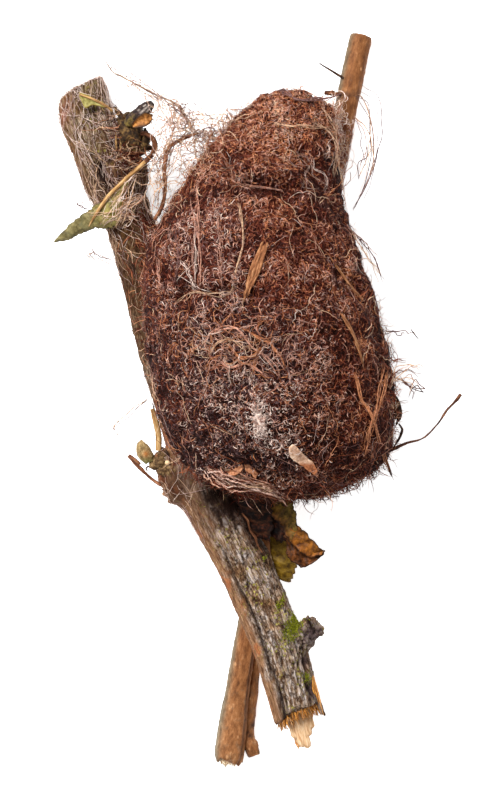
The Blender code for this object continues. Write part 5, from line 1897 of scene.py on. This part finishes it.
def make_tendril(tree):
    """The curled tendril, the loose strand above it, and the webs that hang between them and the silk."""
    stalk("tendril_stem", TENDRIL, "brown_bark", brown_shoot, ["tendril"], stations=60, wobble=0.22)
    thin = dict(stations=60, wobble=0.3, sides=8)
    stalk("loose_strand_stem", STRAND, "pale_paper", grey_shoot, ["loose_strand"], **thin)
    rng = np.random.default_rng(52)
    tendril, strand = smooth_line(TENDRIL, 100)[:, :3], smooth_line(STRAND, 100)[:, :3]
    shoulder = seen(tree, [(-17 + k * 0.6, 24 + k * 0.95) for k in range(16)], lift=0.2) / MM
    high = seen(tree, [(-9.4 + k * 0.7, 36.0 + k * 0.7) for k in range(10)], lift=0.2) / MM
    bud = np.array([(-20.0, 41.0, 15.0), (-19.4, 37.0, 14.4)])
    lines = [
        between(rng, tendril, shoulder, 16, 1.3),
        between(rng, tendril[50:], high, 20, 1.4),
        between(rng, strand[:50], high, 16, 1.3),
        between(rng, strand[:60], tendril[40:], 34, 0.9),
        between(rng, tendril[:60] + (-1.0, 0.0, 0.0), tendril[30:] + (-1.2, 0.0, 0.0), 34, 0.6),
        between(rng, bud, strand[:40], 20, 0.7),
        between(rng, strand[:80], strand[20:], 20, 0.4),
    ]
    for source, count in ((tendril, 36), (strand[:70], 34), (shoulder, 40), (high, 44)):
        roots = source[rng.integers(0, len(source), count)] + rng.normal(0, 0.3, (count, 3))
        heading = unit(rng.normal(0, 1, (count, 3)) * (1.0, 1.0, 0.5))
        lengths = rng.uniform(2.5, 8.0, count)
        lines.append(loops(rng, roots * MM, heading, lengths * MM, THREAD_STATIONS))
    lines = np.concatenate(lines)
    tone = pick(rng, len(lines), tan=8, pink=2, orange=1.2, pale=5, grey=1.4, mauve=0.6, umber=1.4)
    far_up = lines[:, :, 1].mean(axis=1) > 42 * MM
    tone[far_up] = pick(rng, far_up.sum(), grey=3, pale=2, tan=2, mauve=1)
    spin(rng, "tendril_webs", lines, tone, (0.045, 0.085))


KNEE_BUD = [
    (-21.9, -17.4, 11.3, 0.5),
    (-21.6, -18.3, 11.6, 1.15),
    (-21.1, -19.5, 11.5, 1.35),
    (-20.2, -20.9, 11.1, 1.0),
]
KNEE_SPUR = [
    (-18.6, -19.0, 11.2, 0.62),
    (-18.6, -17.2, 11.4, 0.56),
    (-18.8, -15.2, 11.8, 0.54),
    (-19.4, -12.9, 12.1, 0.5),
    (-19.8, -11.5, 12.2, 0.42),
]
KNEE_TWIGLET = [
    [(-18.2, -25.3, 9.8, 0.34), (-20.0, -24.1, 9.6, 0.28), (-22.2, -22.0, 9.6, 0.34),
     (-24.1, -19.9, 9.9, 0.36)],
    [(-22.0, -21.5, 10.2, 0.25), (-23.0, -20.6, 10.4, 0.32), (-24.0, -19.8, 10.3, 0.2)],
]
KNEE_SPIKES = [
    [(-19.7, -10.4, 12.0, 0.08), (-19.2, -12.4, 12.3, 0.2), (-18.4, -14.8, 12.0, 0.12)],
    [(-18.0, -18.4, 12.0, 0.2), (-17.2, -19.2, 12.4, 0.26), (-16.8, -20.0, 12.4, 0.14)],
    [(-20.4, -21.8, 11.0, 0.12), (-20.9, -22.2, 10.8, 0.16), (-20.6, -22.8, 10.6, 0.08)],
    [(-10.3, -36.4, 10.0, 0.18), (-9.7, -36.9, 10.4, 0.2), (-9.3, -37.6, 10.4, 0.1)],
]
# Knobs of the knee: centre and radius. The first is the small pale dot.
KNOBS = [
    ((-17.0, -21.2, 13.0), 0.45),
    ((-18.4, -21.0, 12.2), 1.0),
    ((-19.3, -21.6, 11.4), 0.9),
    ((-17.5, -22.4, 11.9), 1.1),
    ((-16.2, -22.6, 12.2), 1.1),
    ((-18.0, -19.9, 11.8), 0.8),
    ((-15.2, -23.8, 12.2), 1.2),
]


def make_knee():
    """Bud, spur, twiglet, spikes and knobs at the knee."""
    mesh = stalk_mesh("knee_bud_scales", KNEE_BUD, sides=20, stations=34, wobble=0.2, seed=2.0)
    places, _normals = corners_of(mesh)
    glow = blob(places, (-20.9, -19.6), (0.5, 0.5))
    mark(mesh, glow=glow, olive=fall(places[:, 1], -21.2 * MM, -20.0 * MM))
    marks = [("glow", (176, 110, 56), (206, 140, 84)), ("olive", (92, 88, 44), (140, 130, 78))]
    finish = cloud_finish("knee_bud", [(84, 66, 40), (142, 116, 76), (194, 166, 120)], 0.6, marks)
    piece("knee_bud_scales", mesh, finish, ["knee_bud"])
    stalk("knee_spur_stalk", KNEE_SPUR, "straw", tan_shoot, ["knee_spur"], stations=40, wobble=0.2)
    bent = dict(stations=30, wobble=0.25)
    stalks("knee_twiglet_stem", KNEE_TWIGLET, "dark_bark", brown_shoot, ["knee_twiglet"], **bent)
    stalks("knee_spikes", KNEE_SPIKES, "dark_bark", dark_shoot, sides=6, stations=14, wobble=0.2)
    make_knobs()


def make_knobs():
    """Round knobs on the knee: the first is smooth and pale, the others rough and dark."""
    parts = []
    for k, ((x, y, z), size) in enumerate(KNOBS):
        steps = (-1, -0.4, 0.4, 1)
        rows = [(x + size * t, y, z - 0.2 * size * abs(t) ** 3, size * (1 - 0.6 * t * t)) for t in steps]
        mesh = stalk_mesh(f"knob_{k}", rows, sides=18, stations=18, wobble=0.5 if k else 0.1, seed=6.0 + k)
        mark(mesh, pale=np.full(len(mesh.vertices), 0.0 if k else 1.0))
        parts.append(mesh)
    marks = [("pale", (210, 170, 120), (244, 218, 178))]
    finish = cloud_finish("knee_knobs", [(46, 30, 18), (100, 74, 46), (154, 126, 86)], 0.6, marks)
    piece("knee_knobs", joined("knee_knobs", parts), finish)


GRASS = [
    (21.6, -19.1, 18.4, 0.36),
    (23.4, -18.6, 18.8, 0.34),
    (25.7, -17.6, 18.9, 0.24),
    (28.9, -16.6, 18.2, 0.14),
    (31.5, -14.0, 17.0, 0.17),
    (33.1, -11.7, 16.0, 0.22),
    (34.4, -10.4, 15.2, 0.24),
    (35.1, -9.6, 14.9, 0.36),
    (35.6, -8.9, 14.6, 0.3),
]
SLIVERS = [
    [(23.1, -8.1, 17.6, 0.15), (24.3, -10.4, 17.3, 0.4), (24.5, -12.8, 17.4, 0.42),
     (23.9, -14.3, 17.8, 0.15)],
    [(23.4, -9.4, 17.8, 0.15), (23.7, -11.6, 18.0, 0.3), (23.9, -13.4, 18.0, 0.2)],
    [(24.4, -14.2, 17.8, 0.14), (25.0, -15.2, 17.8, 0.24), (24.4, -16.9, 18.2, 0.22),
     (23.4, -18.3, 18.6, 0.12)],
    [(21.6, -19.6, 18.8, 0.3), (22.4, -21.4, 18.6, 0.26), (23.2, -23.6, 18.2, 0.1)],
    [(18.4, -21.6, 20.0, 0.22), (19.2, -22.6, 20.0, 0.16), (20.0, -24.0, 19.8, 0.08)],
    [(26.6, 2.8, 16.0, 0.06), (27.2, 2.0, 16.0, 0.12), (28.0, 1.0, 16.0, 0.06)],
]
# Threads beside and below the silk, as the picture shows them.
LOOSE = [
    [(22.1, -4.9), (24.5, -5.9), (27.0, -7.4), (26.3, -9.2)],
    [(22.7, -6.3), (24.5, -4.9), (26.6, -4.9), (27.7, -6.3)],
    [(22.6, -8.0), (24.5, -5.4), (26.8, -4.4), (29.0, -4.9)],
    [(22.1, 2.7), (24.8, 2.5), (26.8, 2.7)],
    [(20.4, -1.4), (22.6, -2.0), (25.4, -1.8)],
    [(24.9, -5.8), (26.8, -7.8), (28.4, -7.6), (27.2, -6.4), (26.2, -8.4)],
    [(10.4, -23.9), (12.2, -25.7), (14.9, -26.1), (17.3, -24.7), (18.5, -22.5)],
    [(6.0, -26.0), (9.0, -27.4), (12.4, -26.6), (14.0, -25.2)],
    [(16.2, 24.3), (18.0, 27.9), (19.8, 33.3), (20.2, 38.7), (19.4, 44.1), (16.9, 45.9)],
    [(17.6, 30.0), (18.4, 33.8), (19.6, 36.0)],
    [(17.2, 45.2), (19.0, 41.0), (19.6, 35.0), (18.8, 30.2), (17.0, 26.0)],
    [(16.4, 41.0), (18.2, 38.8), (19.0, 34.8), (18.0, 32.0)],
    [(16.7, 19.8), (19.8, 16.2), (21.6, 11.7)],
    [(15.0, 21.5), (17.6, 19.0), (21.0, 14.0)],
    [(18.2, 6.5), (19.6, 8.4), (20.4, 6.6), (19.6, 5.2)],
    [(18.6, 5.6), (20.2, 7.6), (21.0, 5.4)],
    [(-30.6, 17.4), (-29.9, 15.9), (-28.3, 15.2), (-26.8, 15.0)],
    [(-30.2, 16.9), (-30.9, 16.2), (-29.6, 15.6)],
    [(-20.5, -9.5), (-24.0, -12.5), (-27.0, -14.8), (-25.4, -16.6)],
    [(-33.4, 25.5), (-32.4, 25.2), (-31.4, 24.5)],
]


def make_right_side(tree):
    """The grass stem and dark slivers at the right, and the loose threads beside and below the silk."""
    long, short = dict(sides=8, stations=60, wobble=0.25), dict(sides=8, stations=22, wobble=0.3)
    stalk("grass_stem_blade", GRASS, "straw", red_shoot, ["grass_stem"], **long)
    stalks("dark_sliver_bits", SLIVERS, "dark_bark", dark_shoot, ["dark_sliver"], **short)
    rng = np.random.default_rng(61)
    paths = LOOSE * 3
    lines = []
    for path in paths:
        stray = 0.12 if path[0][0] < 0 else 0.22
        shifted = smooth_line(path, 12) + np.cumsum(rng.normal(0, stray, (12, 2)), axis=0)
        lines.append(smooth_line(seen(tree, shifted, lift=0.5, level=0.016), 24))
    tone = pick(rng, len(paths), umber=3, maroon=3, red_brown=3, tan=3, mauve=3, pink=1)
    light = np.array([x < 0 or y > 20 for x, y in (path[0] for path in paths)])
    tone = np.where(light, pick(rng, len(paths), grey=3, ash=3, tan=1), tone)
    spin(rng, "right_threads", np.stack(lines), tone, (0.055, 0.09), sides=4)


TOP_THORN = [(14.8, 48.7, 3.8, 0.26), (12.6, 50.0, 4.6, 0.2), (10.4, 51.3, 5.0, 0.12)]
SIDE_THORN = [(14.2, 45.7, 4.1, 0.35), (12.9, 45.8, 4.8, 0.5), (11.4, 46.0, 5.2, 0.34)]
# The hood's right edge, as the picture shows it, and the places on and beside the twig that it is tied to.
HOOD_EDGE = [
    (3.0, 44.6),
    (6.0, 43.4),
    (8.0, 42.4),
    (9.5, 41.0),
    (8.6, 39.4),
    (10.4, 38.0),
    (10.8, 34.0),
    (11.4, 30.6),
]
TIED_TWIG = [
    (12.6, 39.8, 8.0),
    (13.6, 40.6, 6.6),
    (14.2, 41.4, 5.6),
    (15.0, 44.8, 5.0),
    (14.4, 43.0, 5.6),
    (13.6, 36.4, 8.0),
    (13.4, 33.0, 8.0),
]


def make_twig_top(tree):
    """The two thorns at the slender twig's top, and the pale threads that tie it to the silk."""
    stalk("top_thorn_spine", TOP_THORN, "dark_bark", dark_shoot, ["top_thorn"], sides=6, stations=16)
    blunt = dict(sides=8, stations=16, wobble=0.3)
    stalk("side_thorn_stub", SIDE_THORN, "dark_bark", red_shoot, ["side_thorn"], **blunt)
    rng = np.random.default_rng(62)
    tied, loose = 210, 170
    webs = between(rng, seen(tree, HOOD_EDGE, lift=0.3) / MM, np.array(TIED_TWIG), tied, 0.5)
    near = np.array((12.6, 38.2, 7.0)) + rng.normal(0, 1, (loose, 3)) * (1.3, 3.2, 0.7)
    heading = flat_heading(rng.uniform(0, 2 * math.pi, loose))
    curls = loops(rng, near * MM, heading, rng.uniform(2, 6, loose) * MM, THREAD_STATIONS)
    tone = pick(rng, tied + loose, pale=6, white=5, tan=3, pink=1, grey=1)
    spin(rng, "twig_webs", np.concatenate((webs, curls)), tone, (0.04, 0.085), sides=2)


def twig_silk_share(places, normals):
    """The front of the slender twig from the cocoon's edge upwards."""
    upper = fall(places[:, 1], 33 * MM, 41 * MM) * (places[:, 1] > 18 * MM)
    return ease(normals[:, 2], -0.4, 0.3) * upper


def make_twig_silk(mesh, tree):
    """Silk wrapped round the slender twig above the cocoon."""
    rng = np.random.default_rng(63)
    count = 1500
    roots, _normals = scatter(rng, mesh, count, twig_silk_share)
    heading = combed(rng, count, (80, -100, 150), 25)
    lines, ups = creep(rng, tree, roots, heading, rng.uniform(1.5, 5.0, count) * MM, stations=6, turn=0.2)
    lines = lifted(lines, ups, rng.uniform(0.05, 0.4, (count, 1)))
    tone = pick(rng, count, maroon=3, red_brown=5, rust=4, orange=3, tan=5, pink=3, pale=2)
    spin(rng, "twig_silk", lines, tone, (0.04, 0.07), ups=ups, sides=2)


# ---------------------------------------------------------------- the set


def make_camera():
    """A long lens straight above the part."""
    data = bpy.data.cameras.new("camera")
    data.lens = LENS
    data.sensor_width = SENSOR
    data.clip_start = 0.01
    data.clip_end = 10.0
    camera = bpy.data.objects.new("camera", data)
    bpy.context.scene.collection.objects.link(camera)
    camera.location = EYE * MM
    bpy.context.scene.camera = camera


def area_light(name, place, target, size, power):
    """A square lamp at a place, turned to a target."""
    data = bpy.data.lights.new(name, "AREA")
    data.shape = "SQUARE"
    data.size = size
    data.energy = power
    light = bpy.data.objects.new(name, data)
    bpy.context.scene.collection.objects.link(light)
    light.location = place
    light.rotation_euler = (Vector(target) - Vector(place)).to_track_quat("-Z", "Y").to_euler()


def make_floor():
    """A white floor that glows a little, like a photo's background."""
    shape = bmesh.new()
    bmesh.ops.create_grid(shape, x_segments=1, y_segments=1, size=2.0)
    mesh = bpy.data.meshes.new("floor")
    shape.to_mesh(mesh)
    shape.free()
    floor = bpy.data.objects.new("floor", mesh)
    bpy.context.scene.collection.objects.link(floor)
    white = plain("floor_white", (252, 252, 252), 0.9, 0.1)
    shader = white.node_tree.nodes["Principled BSDF"]
    shader.inputs["Emission Color"].default_value = (1.0, 1.0, 1.0, 1.0)
    shader.inputs["Emission Strength"].default_value = 0.75
    mesh.materials.append(white)


def make_light():
    """White surroundings, a key light at the upper left, and a weak fill light at the right."""
    world = bpy.data.worlds.new("studio")
    bpy.context.scene.world = world
    world.use_nodes = True
    world.node_tree.nodes["Background"].inputs["Color"].default_value = (1.0, 1.0, 1.0, 1.0)
    world.node_tree.nodes["Background"].inputs["Strength"].default_value = 0.42
    middle = (0.0, 0.0, 0.01)
    area_light("key", (-0.3, 0.38, 0.56), middle, 0.3, 8.6)
    area_light("fill", (0.4, 0.1, 0.6), middle, 0.5, 0.6)
    bpy.context.scene.view_settings.view_transform = "Standard"
    bpy.context.scene.view_settings.look = "None"


def main():
    """Builds the set, then the silk and the stems, then what is caught in the silk."""
    make_camera()
    make_floor()
    make_light()
    cocoon, cocoon_tree = make_cocoon_ground()
    branch = make_thick_branch()
    twig = make_slender_twig()
    for name, (count, seed, wanted, shape) in FELT.items():
        make_felt(name, cocoon, cocoon_tree, count, seed, wanted, **shape)
    make_laid_threads(cocoon_tree)
    make_web(cocoon, cocoon_tree)
    make_frizz(cocoon)
    make_torn_wood()
    make_moss(branch)
    make_branch_threads(branch, tree_of(branch))
    make_seam(cocoon, branch)
    make_side_twig()
    make_foot_splinters()
    make_left_leaf()
    make_green_sliver()
    make_dry_leaf()
    make_green_leaf()
    make_papery_strip()
    make_scrap(cocoon_tree)
    make_straws(cocoon_tree)
    make_fork()
    make_tendril(cocoon_tree)
    make_knee()
    make_right_side(cocoon_tree)
    make_twig_top(cocoon_tree)
    make_twig_silk(twig, tree_of(cocoon, twig))


main()
